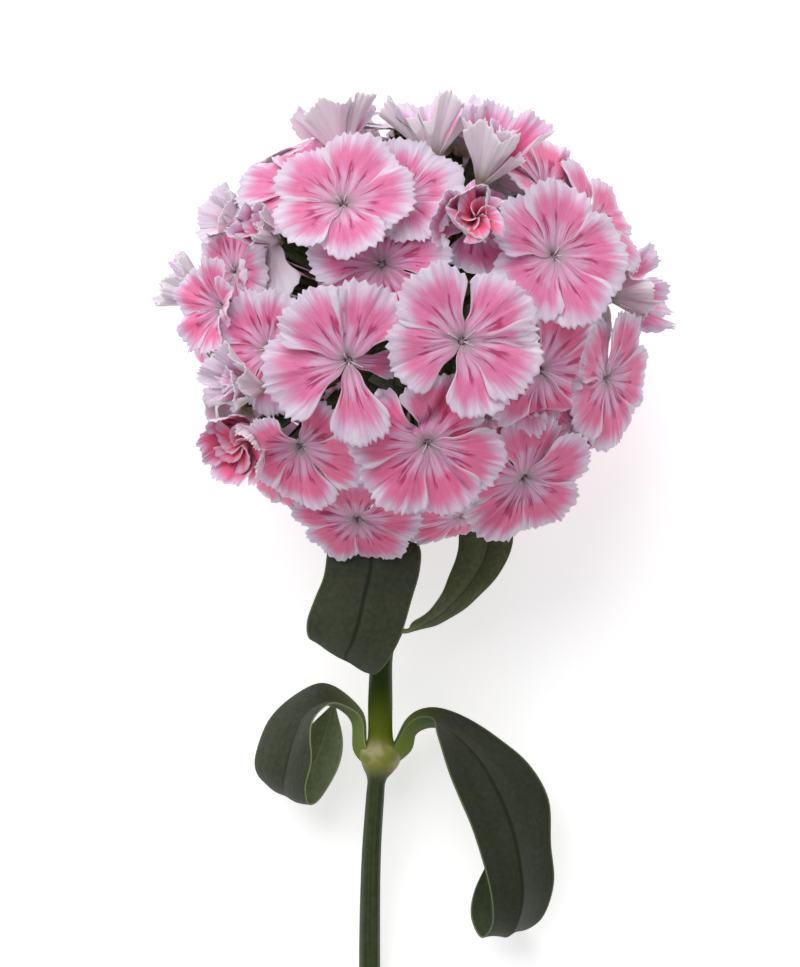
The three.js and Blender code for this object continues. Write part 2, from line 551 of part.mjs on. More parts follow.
// ---- assembly ----
const MATERIALS = {
  petal: new THREE.MeshStandardMaterial({ color: 0xe39bbb, roughness: 0.6, metalness: 0, side: THREE.DoubleSide }),
  stalk: new THREE.MeshStandardMaterial({ color: 0x3d4a24, roughness: 0.65, metalness: 0 }),
  stem: new THREE.MeshStandardMaterial({ color: 0x4c5b2c, roughness: 0.5, metalness: 0 }),
  leaf: new THREE.MeshStandardMaterial({ color: 0x3f4637, roughness: 0.6, metalness: 0, side: THREE.DoubleSide }),
};

const flower = new THREE.Group();
function add(name, solid, material) {
  const mesh = new THREE.Mesh(geometryOf(solid), MATERIALS[material]);
  mesh.name = name;
  flower.add(mesh);
}

const florets = placeFlorets([...FLORETS, ...farFlorets(FLORETS)]);
const fatStem = stemSolid(GAP);
const leaves = LEAVES.map((leaf) => largestBody(leafSolid(leaf).subtract(fatStem)));
const fatLeaves = LEAVES.map((leaf) => leafSolid(leaf, GAP));

// Higher florets stay whole, and a lower one ends a gap short of them, of the other calyces and of the leaves.
const order = [...florets].sort((a, b) => b.lift - a.lift || a.index - b.index);
const fatCalyces = florets.map((f) => calyxSolid(f, GAP));
const placed = [];
for (const f of order) {
  const sheet = floretSheet(f, florets);
  const near = placed.filter((o) => o.throat.distanceTo(f.throat) < o.size + f.size + 2);
  const tubes = fatCalyces.filter((_, i) => i !== f.index && florets[i].throat.distanceTo(f.throat) < 3 * f.size);
  const cutters = [...near.flatMap((o) => [o.solid, o.fat]), ...tubes, ...fatLeaves, fatStem];
  f.solid = largestBody(floretSolid(f, sheet).subtract(wasm.Manifold.union(cutters)).simplify(SIMPLER));
  f.fat = floretSolid(f, sheet, GAP);
  placed.push(f);
}

add("stem", stemSolid(), "stem");
add("head_stalks", largestBody(stalksSolid(florets)), "stalk");
LEAVES.forEach((leaf, i) => add(leaf.name, leaves[i], "leaf"));
florets.forEach((f, i) => add("floret_" + String(i + 1).padStart(2, "0"), f.solid, "petal"));

export default flower;
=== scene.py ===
"""A cut stem of sweet William, a small carnation with many florets in one round head, lying on a table.

Shapes are worked out in millimetres, as in the part's source, and put into the meshes in metres.
+X is across the stem, +Y along it towards the head, +Z up, and the table is z = 0.
"""

import math

import bpy
import numpy as np
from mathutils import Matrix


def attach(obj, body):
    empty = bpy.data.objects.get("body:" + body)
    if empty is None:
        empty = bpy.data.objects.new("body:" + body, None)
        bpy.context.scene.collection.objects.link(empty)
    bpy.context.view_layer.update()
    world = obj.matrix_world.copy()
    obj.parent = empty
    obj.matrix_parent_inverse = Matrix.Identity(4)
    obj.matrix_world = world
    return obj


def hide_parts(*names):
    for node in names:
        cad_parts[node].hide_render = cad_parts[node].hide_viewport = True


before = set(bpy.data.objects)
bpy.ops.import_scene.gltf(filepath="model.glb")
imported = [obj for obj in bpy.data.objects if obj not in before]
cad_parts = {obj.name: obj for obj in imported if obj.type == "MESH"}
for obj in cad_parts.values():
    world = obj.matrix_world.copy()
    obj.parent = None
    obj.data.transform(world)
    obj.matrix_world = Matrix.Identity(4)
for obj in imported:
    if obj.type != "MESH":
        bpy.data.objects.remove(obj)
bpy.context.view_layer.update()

MM = 0.001

# ---- sizes of the flower, in mm, as in the part's source ----
HEAD = np.array([-0.8, 58.8, 37.2])  # middle of the flower head
DOME = 37.0  # from the middle of the head to the throat of a floret
FAR_DOME = 35.0  # the same on the far side
THROAT_R = 0.9  # where the five petals of a floret meet
CALYX_TOP = 1.5  # below the throat
CALYX_R = 1.9
CALYX_LONG = 13.0
CORE_R = 14.0  # the dense branching inside the head
HUB = HEAD + (-1.8, -33.0, -7.0)  # where the stem ends and the head branches
PETALS = 5
STEP = 2 * math.pi / PETALS  # from one petal to the next
PINWHEEL = 0.05  # one side of a petal lies this much of its length above the other
FLAT = 35.0  # a floret whose petals rise less than this lies over its neighbours like a lid
TUCK = 1.15  # how far a petal is tucked under the floret above it
REACH = 9.0  # a point further above the lid than this isn't under it
LID_NEAR = 2.2  # from a lid's throat to the next one's, in lengths of its petals
LID_EDGE = 1.6  # a lid presses on what lies this far beyond its petals
LID_SLOPE = 1.4  # and by this much less for each mm beyond that

# toward (from the middle of the head to the throat), face (the way it looks), lift above the dome, petal
# length, rise of a petal at its root and its tip, turn of the first petal, and extra rise of single petals.
FLORETS = [
    ((-11.6, 21, 32), (-0.12, 0.52, 0.85), 3, 12.2, 24, 2, 68),
    ((-10.7, -6.2, 37.6), (-0.1, -0.08, 1), 2.6, 13.4, 10, -8, 57, (0, 0, 0, 0, -55)),
    ((9, -2.8, 39.7), (0.1, 0.02, 1), 3.8, 12.8, 10, -6, 45),
    ((3.1, -20.5, 32.6), (0.04, -0.38, 0.92), 1.6, 12.6, 12, -4, 78),
    ((-19.2, -21.2, 24.1), (-0.42, -0.42, 0.8), 0.4, 11, 12, -8, 60, (0, 46, 0, 0, 0)),
    ((-9.6, -35.2, 9), (-0.14, -0.7, 0.68), -0.4, 10.2, 12, -8, 20),
    ((20.1, -26.9, 16.4), (0.42, -0.52, 0.74), 0.4, 11.6, 10, -6, 84),
    ((22.7, -7.9, 27.4), (0.52, -0.04, 0.84), -0.6, 12.8, 14, -6, 62),
    ((25.1, 12, 27), (0.46, 0.28, 0.84), 1.8, 12.4, 16, 0, 10),
    ((34.6, -9.4, 9), (0.8, -0.15, 0.55), 0, 11.6, 16, -4, 40),
    ((36, 5.8, 0), (0.97, 0.1, 0.1), -2, 12.6, 60, 52, 20),
    ((12.5, 24.8, 23.6), (0.34, 0.84, 0.42), -0.6, 14, 62, 58, 30),
    ((4, 29, 20), (-0.05, 0.98, 0.06), -1.4, 12.6, 58, 50, 70),
    ((-12, 29.4, 16), (-0.16, 0.98, 0), -1.4, 12, 66, 46, 50),
    ((23.6, 23.4, 11), (0.5, 0.7, 0.36), -1.4, 10.2, 24, 6, 15),
    ((31.6, 17.8, 5), (0.72, 0.5, 0.36), 0, 10.8, 24, 4, 60),
    ((10.8, 17.8, 29.4), (0.1, 0.12, 0.99), -0.4, 12.8, 34, 98, 25, (0, 0, -28, 0, -66)),
    ((-1.7, 22.4, 28.4), (0.02, 0.5, 0.86), -1.2, 10.2, 26, 2, 82),
    ((-5.4, 11.6, 36), (-0.08, 0.16, 0.98), -2, 11.4, 14, -4, 18),
    ((-23.6, 15, 23.4), (-0.6, 0.3, 0.74), -0.8, 10.2, 60, 84, 40, (0, 0, 0, -84, 0)),
    ((-29.3, 17.4, 8.8), (-0.8, 0.38, 0.46), -1.6, 9.6, 64, 40, 33),
    ((-31.6, 9.6, 14), (-0.74, 0.12, 0.5), -1.8, 9.8, 16, -6, 77),
    ((-36.2, 4.4, -3), (-0.86, 0.45, 0.1), -0.6, 9.2, 64, 64, 52),
    ((-32.8, 3, 16), (-0.74, 0.05, 0.55), 0, 8.8, 40, 10, 12),
    ((-26, -4.4, 26), (-0.5, -0.1, 0.8), -1.8, 10.2, 12, -6, 66),
    ((-25.9, -11, 24.3), (-0.8, 0.1, 0.6), 0.2, 10.4, 66, 54, 5),
    ((-34.4, -9.6, 0), (-0.96, -0.2, 0.1), -1, 10.6, 18, 0, 35),
    ((-27.7, -19.5, 17.4), (-0.45, -0.35, 0.82), 1, 10.8, 34, 86, 48),
    ((-24, -26.4, 5), (-0.56, -0.74, 0.3), -1, 10.2, 12, -8, 27),
    ((9.6, -35, 6), (0.2, -0.88, 0.4), -1.4, 10.2, 6, -12, 63),
    ((15, -17, 30), (0.35, -0.35, 0.87), -3, 9, 8, -8, 12),
    ((-18.6, 24, 19.6), (-0.36, 0.66, 0.58), -1.4, 9.6, 20, 0, 9),
    ((29.6, -18, 12), (0.72, -0.42, 0.46), -1, 10.4, 14, -8, 71),
    ((-2, 35.6, 0), (-0.04, 0.98, 0.1), -2, 10, 12, -8, 44),
]
# How deep a floret's pink is, from 0 to 1. Below 0 it is paler, down to nearly white at -1.
BLUSH = {
    1: 0.46, 2: 0.36, 3: 0.44, 4: 0.66, 5: 0.7, 6: 0.68, 7: 0.66, 8: 0.68, 10: 0.66, 12: 0.6, 13: -0.1,
    14: -0.2, 15: 0.66, 16: 0.6, 17: 0.6, 18: -0.1, 19: 0.2, 20: 0.62, 21: -0.6, 22: 0.1, 23: -0.7, 24: 0.62,
    25: 0.3, 26: -0.5, 27: 0.2, 28: 0.74, 29: 0.7, 30: 0.72, 31: 0.75, 33: 0.7, 34: -0.6,
}
USUAL_BLUSH = 0.5
# Some florets' petals one by one: turn from their even place in degrees, width, length, and blush as tint.
# The left side of a petal lies on top unless sense is -1, and roll draws the right side in to the axis.
PETALS_OF = {
    2: {"turn": (9, -1, -4, 9, 6), "wide": (1.0, 1.0, 0.97, 0.7, 0.6), "long": (0.97, 0.97, 1.05, 1.01, 0.8)},
    3: {"turn": (-8, 9, 8, 32, 5), "wide": (1.1, 1.0, 0.98, 1.0, 1.05), "long": (0.99, 1.03, 0.93, 0.96, 1.0),
        "sense": -1},
    4: {"turn": (-8, 12, 10, -6, -22), "wide": (1.24, 0.98, 0.95, 0.95, 0.95),
        "long": (0.96, 1.04, 1.0, 0.98, 1.0)},
    5: {"turn": (-6, 4, 0, 0, 6), "wide": (0.8, 0.85, 1.0, 1.0, 0.95), "long": (0.9, 1.1, 1.0, 1.0, 1.05)},
    9: {"turn": (0, 6, 0, 4, 0), "wide": (1.1, 1.1, 1.0, 1.15, 1.0), "long": (1.03, 1.0, 1.0, 1.0, 1.0)},
    12: {"turn": (0, 0, 0, 8, 4), "wide": (1.1, 1.0, 1.0, 1.15, 0.95), "long": (1.05, 1.0, 1.0, 1.12, 0.66),
         "tint": (0.6, 0.6, 0.6, -0.8, 0.3)},
    15: {"wide": (1.1,) * PETALS, "long": (1.2,) * PETALS},
    17: {"turn": (0, 0, 0, 0, -24), "wide": (1.9, 1.9, 1.3, 1.8, 1.5), "long": (1.0, 0.95, 1.0, 0.9, 1.2),
         "tint": (0.6, 0.6, 0.6, 0.6, 0.2), "roll": 0.28},
    20: {"turn": (0, 0, 0, -38, 0), "wide": (1.2, 1.1, 1.2, 2.1, 1.2), "long": (0.9, 0.9, 0.9, 1.1, 0.9),
         "tint": (0.4, 0.4, 0.4, -1.0, 0.4), "roll": 0.1},
    21: {"wide": (1.3,) * PETALS, "long": (0.85,) * PETALS, "roll": 0.12},
    32: {"wide": (1.15,) * PETALS, "long": (1.25,) * PETALS},
    34: {"long": (0.75,) * PETALS},
}
# Florets that aren't fully open, with inner petals rolled into each other: radius and height of the roll in
# mm, and how deep its pink is.
ROLLED = {
    12: (3.4, 11.0, 0.5), 17: (5.1, 8.6, 1.0), 20: (3.0, 7.0, 0.7), 26: (3.2, 8.0, 0.5), 28: (5.4, 6.4, 0.95),
}

# The far side of the head: points of a golden-angle spiral, where they lie clear of those before them.
# The four sides are shares of the dome's radius from the middle of the head, along Y or up.
SPIRAL_POINTS = 700
GOLDEN_ANGLE = math.pi * (3 - math.sqrt(5))
SPIRAL_TURN = 2.02  # where round the head the spiral starts
NEAREST = math.cos(math.radians(26))  # two florets are further apart than this angle
STEM_SIDE = -0.76  # no floret lies nearer to the stem than this
FAR_SIDE = 0.05  # and none higher than this
RIM_SIDE = -0.42  # half-open florets lie between this height
FLAT_BELOW = -0.66  # and this one
HALF_OPEN, OPEN = (44, 18), (12, -8)  # rise of the petals at the root and the tip, of either kind
FAR_LONG, FAR_SPREAD = 11.6, 1.2  # the least length of their petals, and how much more there may be
FAR_TILT = 0.16  # how much their faces lean at random
FAR_LIFT = 1.4  # neighbours lie this much above each other

# Along the stem from near the cut end to the hub: place from the middle of the head, and radius.
STEM = [
    (-7.4, -130, -34.9, 1.95),
    (-7.4, -112, -31.2, 1.9),
    (-7.1, -97.5, -28.2, 1.75),
    (-6.4, -86.5, -25.4, 1.65),
    (-6.1, -83, -24.5, 1.7),
    (-5.8, -80.8, -23.9, 2.9),
    (-5.5, -79, -23.4, 3.7),
    (-5.4, -77.2, -22.9, 3.6),
    (-5.4, -75.2, -22.3, 2.3),
    (-5.4, -68, -20, 2.2),
    (-5.2, -61, -17.6, 2),
    (-4.6, -57.6, -16.2, 2),
    (-4, -55.2, -15.2, 2.7),
    (-3.6, -53, -14.4, 2.2),
    (-2.7, -44, -11.2, 1.9),
]
CUT_X, CUT_Y, CUT_R = -7.3, -160.0, 2.0  # the cut end
CUT_RESTS = 12.0  # the stem lies on the table along this much of its end
CUT_SLANT = 0.35  # slope of the cut
LOWER_NODE_Y = HEAD[1] - 78.4  # the two swollen nodes
UPPER_NODE_Y = HEAD[1] - 54.6

LOWER_JOINT = (-5.6, -80.6, -23.6)
UPPER_JOINT = (-4, -55.4, -15.2)
# Rows along each leaf, from its joint on the stem to its tip. A row is a point of the hidden margin, one of
# the midrib and one of the margin nearest the eye.
LEAVES = {
    "leaf_lower_left": (LOWER_JOINT, [
        [(-1.6, 1.4, -2.4), (-2.6, 0.8, 0.3), (-1.6, 1.4, 2.8)],
        [(-2.4, 4.7, -2.4), (-4.4, 3.4, 0.2), (-2.6, 4.7, 2.6)],
        [(-3, 9.8, -2.4), (-4.7, 8.2, 0.4), (-3.5, 9.5, 3.2)],
        [(-6.6, 13.6, -2), (-7, 10.8, 1.2), (-7, 11.8, 4.4)],
        [(-11, 15.2, -1.6), (-10, 11.6, 2.2), (-9.7, 11.5, 6.4)],
        [(-15.9, 12.7, -2), (-13.4, 9.6, 3.6), (-11.8, 9.5, 8.4)],
        [(-20.4, 8, -2), (-15.3, 5.1, 4.8), (-12.4, 6, 10)],
        [(-22.6, 2, -1.6), (-16.6, 0.5, 4.8), (-12.3, 1.5, 10.2)],
        [(-22, -1.8, -3), (-17.3, -3.3, 2.6), (-13.3, -3.3, 8.4)],
        [(-19.8, -3.6, -5), (-16.8, -5.2, -1.2), (-12.9, -6.4, 4.4)],
        [(-17.5, -1.5, -6.4), (-14.5, -4, -4.4), (-10.8, -5.6, 0)],
        [(-15.2, 2.9, -6.8), (-12, 0, -5.6), (-7.6, -0.4, -1.4)],
        [(-12.8, 7, -6.2), (-10, 5, -5.2), (-6.8, 5, -1.8)],
        [(-8.8, 11, -4.4), (-8.4, 11.2, -4.2), (-8, 10.8, -3.8)],
    ]),
    "leaf_lower_right": (LOWER_JOINT, [
        [(1.8, 2, -2.4), (2.8, 0.9, 0.3), (1.8, 1.8, 2.8)],
        [(3, 4.9, -2.4), (5.5, 3.3, 0.2), (3.2, 4.7, 2.8)],
        [(4.7, 8.4, -2), (6.4, 6.2, 0.6), (4.7, 7.5, 3.2)],
        [(7.4, 10.4, -1.6), (8.6, 7.5, 1.2), (7.2, 9.3, 4.2)],
        [(11, 10.8, -1.4), (11, 7.5, 2.6), (9.9, 9.2, 6.2)],
        [(15.5, 9.1, -1), (13.7, 6, 4), (10.6, 6.2, 8.4)],
        [(21.5, 5.5, 0), (17.7, 2, 6), (12.4, 0.5, 10)],
        [(27, 0.9, 1), (21.1, -3.5, 7.4), (14.8, -5.5, 10.6)],
        [(30.8, -5.8, 1.6), (23.9, -10.4, 8), (17, -10.9, 10.6)],
        [(31.3, -14, 1.6), (25.5, -17.6, 8), (19.2, -17.8, 10.4)],
        [(31.7, -21.3, 0), (25.9, -24, 6), (20.4, -23.6, 8.8)],
        [(29.7, -28, -4), (24.4, -29.6, 1.6), (20.5, -28.6, 5)],
        [(25.7, -30.4, -7.4), (22.4, -31, -3.4), (18.6, -31, 0.4)],
        [(23.9, -27.4, -9.4), (20.6, -28, -7), (16.8, -27.6, -3.4)],
        [(22.8, -23, -9.8), (20.2, -23.5, -8.4), (17.2, -23.6, -5.6)],
        [(20.4, -18.4, -9), (20, -18.2, -8.6), (19.6, -18.6, -8.2)],
    ]),
    "leaf_upper_left": (UPPER_JOINT, [
        [(-2.4, 0.4, 1.6), (0, 0, 2.4), (2.6, 0.4, 1.6)],
        [(-3.4, 5, 4.2), (-0.2, 4.6, 4.6), (3, 4.6, 4.2)],
        [(-5.8, 10.6, 6.8), (-1, 10, 7.2), (3.8, 9.6, 6.8)],
        [(-8.2, 16, 9), (-1.8, 15.2, 9.6), (4.8, 14.4, 9)],
        [(-9.4, 18, 11.6), (-2.4, 17.2, 12.4), (5.4, 16, 11.6)],
        [(-10.6, 16, 13.4), (-2.8, 15, 14.4), (6, 14.4, 13.4)],
        [(-11.4, 10.6, 13.8), (-3.2, 11.3, 14.8), (5.6, 10.8, 13.8)],
        [(-13, 6.6, 13.6), (-4.2, 6.9, 14.8), (4.4, 6.6, 13.8)],
        [(-14.4, 2.5, 13), (-5.2, 2.4, 14.6), (3.2, 2.4, 13.4)],
        [(-14.2, -0.6, 11.2), (-6.4, -1.2, 13), (1.8, -1.6, 12)],
        [(-12.4, -1.8, 8), (-7.6, -4, 9.8), (-0.6, -5.8, 9.2)],
        [(-10.8, -2.6, 5.2), (-6.6, -5.2, 6.6), (-2.8, -7.4, 5.8)],
        [(-10, -2, 4), (-6.4, -4, 4.6), (-3, -5.4, 4.4)],
        [(-8, 2, 3.8), (-5.6, 1.2, 4), (-3.4, 0.6, 4)],
        [(-4.9, 5.2, 4), (-4.6, 5.2, 4), (-4.2, 5, 4)],
    ]),
    "leaf_upper_right": (UPPER_JOINT, [
        [(1.8, -0.2, -3), (2, 0, -1.2), (1.8, 0.3, 0.6)],
        [(3.6, -0.2, -3.2), (3.6, 0, -1.4), (3.6, 0.5, 0.6)],
        [(6.6, 0.4, -4), (6.1, 1.1, -1.6), (4.8, 1.8, 0.6)],
        [(10.5, 1.7, -4.8), (9.2, 2.9, -2.2), (8, 4.2, 0.4)],
        [(14.8, 4.6, -5.8), (12.4, 5.7, -3.4), (10, 7.4, -1)],
        [(18.8, 8.4, -7), (15.2, 8.9, -5), (11.6, 11.2, -3)],
        [(21.5, 12.2, -8.8), (17.2, 12.2, -7), (12.8, 14.8, -5.4)],
        [(22.8, 16.2, -11), (18.5, 15.7, -9.4), (13, 18, -8.4)],
        [(22.5, 19.5, -13.2), (19.2, 18.7, -12.2), (15, 20.6, -11.6)],
        [(19.6, 21.6, -15), (19.3, 21.4, -15), (19, 21.6, -14.9)],
    ]),
}

# Looks of a leaf's sides: dark and light green, margin, rib, and how much the leaf's painted shade darkens
# it.
# On the upper and fresh sides the rib is a dark line of painted shade in the midrib's groove.
LEAF_SIDES = {
    "upper": ((55, 61, 43), (76, 82, 61), (104, 116, 76), (30, 36, 22), 1.0),
    "under": ((102, 113, 80), (130, 141, 105), (148, 158, 116), (138, 147, 108), 0.0),
    # shady: the under side's greens painted darker, as painted shade
    "shady": ((48, 58, 32), (68, 80, 46), (124, 134, 96), (84, 94, 60), 0.0),
    # fresh: greens yellower than the upper side's, and painted lighter as painted light
    "fresh": ((70, 76, 46), (94, 102, 66), (112, 122, 80), (44, 50, 28), 0.0),
}
# Each leaf's painted shade, a darkening of its greens for the shade it lies in, and the looks of its two
# sides.
LEAF_LOOKS = {
    "leaf_lower_left": (0.25, "upper", "under"),
    "leaf_lower_right": (0.5, "shady", "upper"),
    "leaf_upper_left": (0.0, "upper", "under"),
    "leaf_upper_right": (0.05, "fresh", "under"),
}


# ---- small sums ----
def chance(k, salt):
    """The fraction of sin(12.9898 k + 78.233 salt) * 43758.5453: the same number, 0 to 1, for the same pair.
    Each use has its own salt."""
    x = np.sin(np.asarray(k, float) * 12.9898 + salt * 78.233) * 43758.5453
    return x - np.floor(x)


def smooth(x, low, high):
    """0 below low, 1 above high, and 3t^2 - 2t^3 between them."""
    t = np.clip((x - low) / (high - low), 0, 1)
    return t * t * (3 - 2 * t)


def unit(v):
    """Each vector divided by its length."""
    v = np.asarray(v, float)
    return v / np.maximum(np.linalg.norm(v, axis=-1, keepdims=True), 1e-12)


def dot(a, b):
    """The products of two vectors' parts, added up."""
    return np.sum(a * b, axis=-1)


def together(*values):
    """Arrays brought to one shape, as the parts of one vector at each place."""
    return np.stack(np.broadcast_arrays(*values), axis=-1)


def once_round(count):
    """Even angles once round, in radians."""
    return np.arange(count) * 2 * math.pi / count


# ---- where the florets are ----
def floret(row):
    """A floret's facts by name, from a row of the table."""
    names = ("toward", "face", "lift", "size", "open", "curl", "spin", "bend")
    facts = dict(zip(names, row))
    facts.setdefault("bend", (0,) * PETALS)
    return facts | {"far": False}


def far_florets():
    """Points k of a spiral, y = 1 - 2(k + 1/2)/n, turned by k golden angles, that lie clear of all before."""
    directions = [unit(row[0]) for row in FLORETS]
    made = []
    for k in range(SPIRAL_POINTS):
        y = 1 - 2 * (k + 0.5) / SPIRAL_POINTS
        r = math.sqrt(1 - y * y)
        turn = k * GOLDEN_ANGLE + SPIRAL_TURN
        d = np.array([r * math.cos(turn), y, r * math.sin(turn)])
        if y < STEM_SIDE or d[2] > FAR_SIDE or max(dot(np.array(directions), d)) > NEAREST:
            continue
        directions.append(d)
        rise = HALF_OPEN if chance(k, 3) > 0.6 and FLAT_BELOW < d[2] < RIM_SIDE else OPEN
        face = (d[0] + FAR_TILT * (chance(k, 1) - 0.5), d[1] + FAR_TILT * (chance(k, 2) - 0.5), d[2])
        lift = FAR_LIFT * (len(made) % 3 - 1) + FAR_DOME - DOME
        row = (d, face, lift, FAR_LONG + FAR_SPREAD * chance(k, 4), *rise, 360 / PETALS * chance(k, 5))
        made.append(floret(row) | {"far": True})
    return made


def placed_florets():
    """Every floret with its number, its throat and the three directions of its own frame."""
    florets = [floret(row) for row in FLORETS] + far_florets()
    for index, f in enumerate(florets):
        f["index"] = index
        f["number"] = index + 1
        f["name"] = f"floret_{index + 1:02d}"
        f["own"] = PETALS_OF.get(index + 1, {})
        f["axis"] = unit(f["face"])
        f["throat"] = unit(f["toward"]) * (DOME + f["lift"]) + HEAD
        level = np.array([1.0, 0, 0]) if abs(f["axis"][0]) < 0.8 else np.array([0, 0, 1.0])
        f["u"] = unit(level - f["axis"] * dot(level, f["axis"]))
        f["v"] = np.cross(f["axis"], f["u"])
        f["blush"] = BLUSH.get(index + 1, USUAL_BLUSH)
    return florets


def below(f, depth):
    """The point of a floret's axis at this depth below its throat."""
    return f["throat"] - f["axis"] * depth


def in_floret(f, out, turn, up):
    """Points from how far they are out from a floret's axis, round it and up above its throat."""
    points = f["throat"] + f["u"] * (out * np.cos(turn))[..., None] + f["v"] * (out * np.sin(turn))[..., None]
    return points + f["axis"] * up[..., None]


# ---- the shape of a petal ----
TEETH, FAR_TEETH = 13, 8  # along the edge of a petal
COLUMNS_PER_TOOTH = 4
ROWS, FAR_ROWS = 19, 12
CLAW_ROWS = 3
CLAW_DEPTH = 1.7
PETAL_HALF = 0.13  # half the thickness of a petal
BEND_SPREAD, TURN_SPREAD = 8, 5  # petals bend and turn by up to half of this many degrees at random
LONG_SPREAD, WIDE_SPREAD = 0.1, 0.16  # and are this much longer or wider from one to the next
MUCH_BENT, BENT_WIDE = 30, 0.84  # a petal bent by more than these degrees is narrower
TOOTH, TOOTH_SPREAD = 0.025, 0.055  # least depth of a tooth, as a share of its length, and what may be added
EDGE_OUT, SHOULDER, SHOULDER_SPREAD = 1.03, 0.2, 0.12  # these and the next in shares of its length too
EDGE_LEAN, EDGE_WAVE = 0.05, 0.018
BROAD_WAVE, WILD = 0.038, 1.6  # the same, and in a cup times the square of the second
MIDDLE_WAVE, FINE_WAVE, FRILL = 0.13, 0.11, 0.08  # how deep they are, in mm
GROOVE, GROOVE_WIDE = 0.18, 0.13  # its depth in mm, and how far it reaches across


def midline(f, share, bend):
    """A petal's midline: an arc whose rise turns evenly from open to curl. Returns how far out and up it is,
    and its rise there, for each share of its length."""
    a = np.radians(f["open"] + bend)
    b = np.radians(f["curl"] + bend)
    rise = a + (b - a) * share
    turn = (rise - a) / 2
    chord = f["size"] * share * np.sinc(turn / math.pi)
    return THROAT_R + chord * np.cos(a + turn), chord * np.sin(a + turn), rise


def petal_bend(f, k):
    """The extra rise of petal k, in degrees: its own bend and a small chance one."""
    return np.asarray(f["bend"], float)[k] + BEND_SPREAD * (chance(f["index"] * PETALS + k, 7) - 0.5)


def over_lid(lid, points):
    """How far points lie above the petals of a floret, along its axis, and how far out from its throat."""
    from_throat = points - lid["throat"]
    high = dot(from_throat, lid["axis"])
    out = np.sqrt(np.maximum(0, dot(from_throat, from_throat) - high * high))
    turn = np.arctan2(dot(from_throat, lid["v"]), dot(from_throat, lid["u"])) - math.radians(lid["spin"])
    petal = np.round(turn / STEP)
    across = (turn / STEP - petal) * 2
    mean = math.radians((lid["open"] + lid["curl"]) / 2)
    share = np.clip((out - THROAT_R) / (lid["size"] * math.cos(mean)), 0, 1)
    up = midline(lid, share, petal_bend(lid, petal.astype(int) % PETALS))[1]
    return high - up - PINWHEEL * lid["size"] * share * across, out


def bend_clear(f, points, share, florets, half_thick):
    """Bends points of floret f below every floret that lies over it, one after the other from the lowest
    up, more and more from an eighth of the petal's length to half of it, and keeps them above the table."""
    give = smooth(share, 0.12, 0.5)
    lids = [l for l in florets if l["lift"] > f["lift"] and l["open"] < FLAT
            and np.linalg.norm(l["throat"] - f["throat"]) < LID_NEAR * l["size"]]
    lids.sort(key=lambda l: l["lift"])
    between = np.ones(share.shape)  # a lid two florets up leaves room for the one between
    for lid in lids:
        over, out = over_lid(lid, points)
        edge = np.maximum(0, out - lid["size"] - LID_EDGE)
        high = over + between * TUCK - LID_SLOPE * edge
        under = smooth(high, 0, 0.2) * (1 - smooth(high, REACH - 3, REACH))
        points = points - lid["axis"] * (high * under * give)[..., None]
        between += under * (1 - smooth(edge, 0, 1.5))
    points[..., 2] = np.maximum(points[..., 2], half_thick)
    return points


def toothed_edge(number, teeth, across):
    """How far out the edge of a petal is, in shares of its length: round shoulders, 1.03 - r|a|^3, leaning to
    one side and a little wavy. With it, triangular teeth, each of its own depth. a is from -1 to 1 across."""
    place = (across + 1) / 2 * teeth
    peak = 1 - np.abs(2 * (place - np.floor(place)) - 1)
    depth = TOOTH + TOOTH_SPREAD * chance(number * 31 + np.floor(place), 11)
    shoulder = SHOULDER + SHOULDER_SPREAD * chance(number, 12)
    lean = EDGE_LEAN * (chance(number, 13) - 0.5) * across
    wave = EDGE_WAVE * np.sin(2 * math.pi * (1.4 * across + chance(number, 14)))
    return EDGE_OUT - shoulder * np.abs(across) ** 3 + lean + wave, (peak - 0.5) * depth


def ruffles(f, number, a, share):
    """How far a petal stands out of its smooth form, in mm: a broad wave across it, three finer ones that
    grow towards the edge, and a groove along the middle."""
    wild = WILD if f["open"] > FLAT else 1.0
    phase = [chance(number, 20 + i) for i in range(4)]
    turn = 2 * math.pi
    broad = BROAD_WAVE * f["size"] * wild**2 * share**1.5 * np.sin(turn * (0.8 * a + phase[0]))
    middle = MIDDLE_WAVE * share**2 * np.sin(turn * (2.2 * a + 0.5 * share + phase[1]))
    fine = FINE_WAVE * smooth(share, 0.45, 1.05) * np.sin(turn * (4.6 * a + phase[2]))
    frill = FRILL * smooth(share, 0.75, 1.0) * np.sin(turn * (9.3 * a + phase[3]))
    groove = -GROOVE * np.exp(-((a / GROOVE_WIDE) ** 2))
    groove = groove * smooth(share, 0.05, 0.3) * (1 - smooth(share, 0.6, 0.9))
    return broad + middle + fine + frill + groove


def each_petal(own, key, usual):
    """A value for each petal: the floret's own ones where it has them, and else the usual ones."""
    return np.array(own[key], float)[:, None, None] if key in own else usual


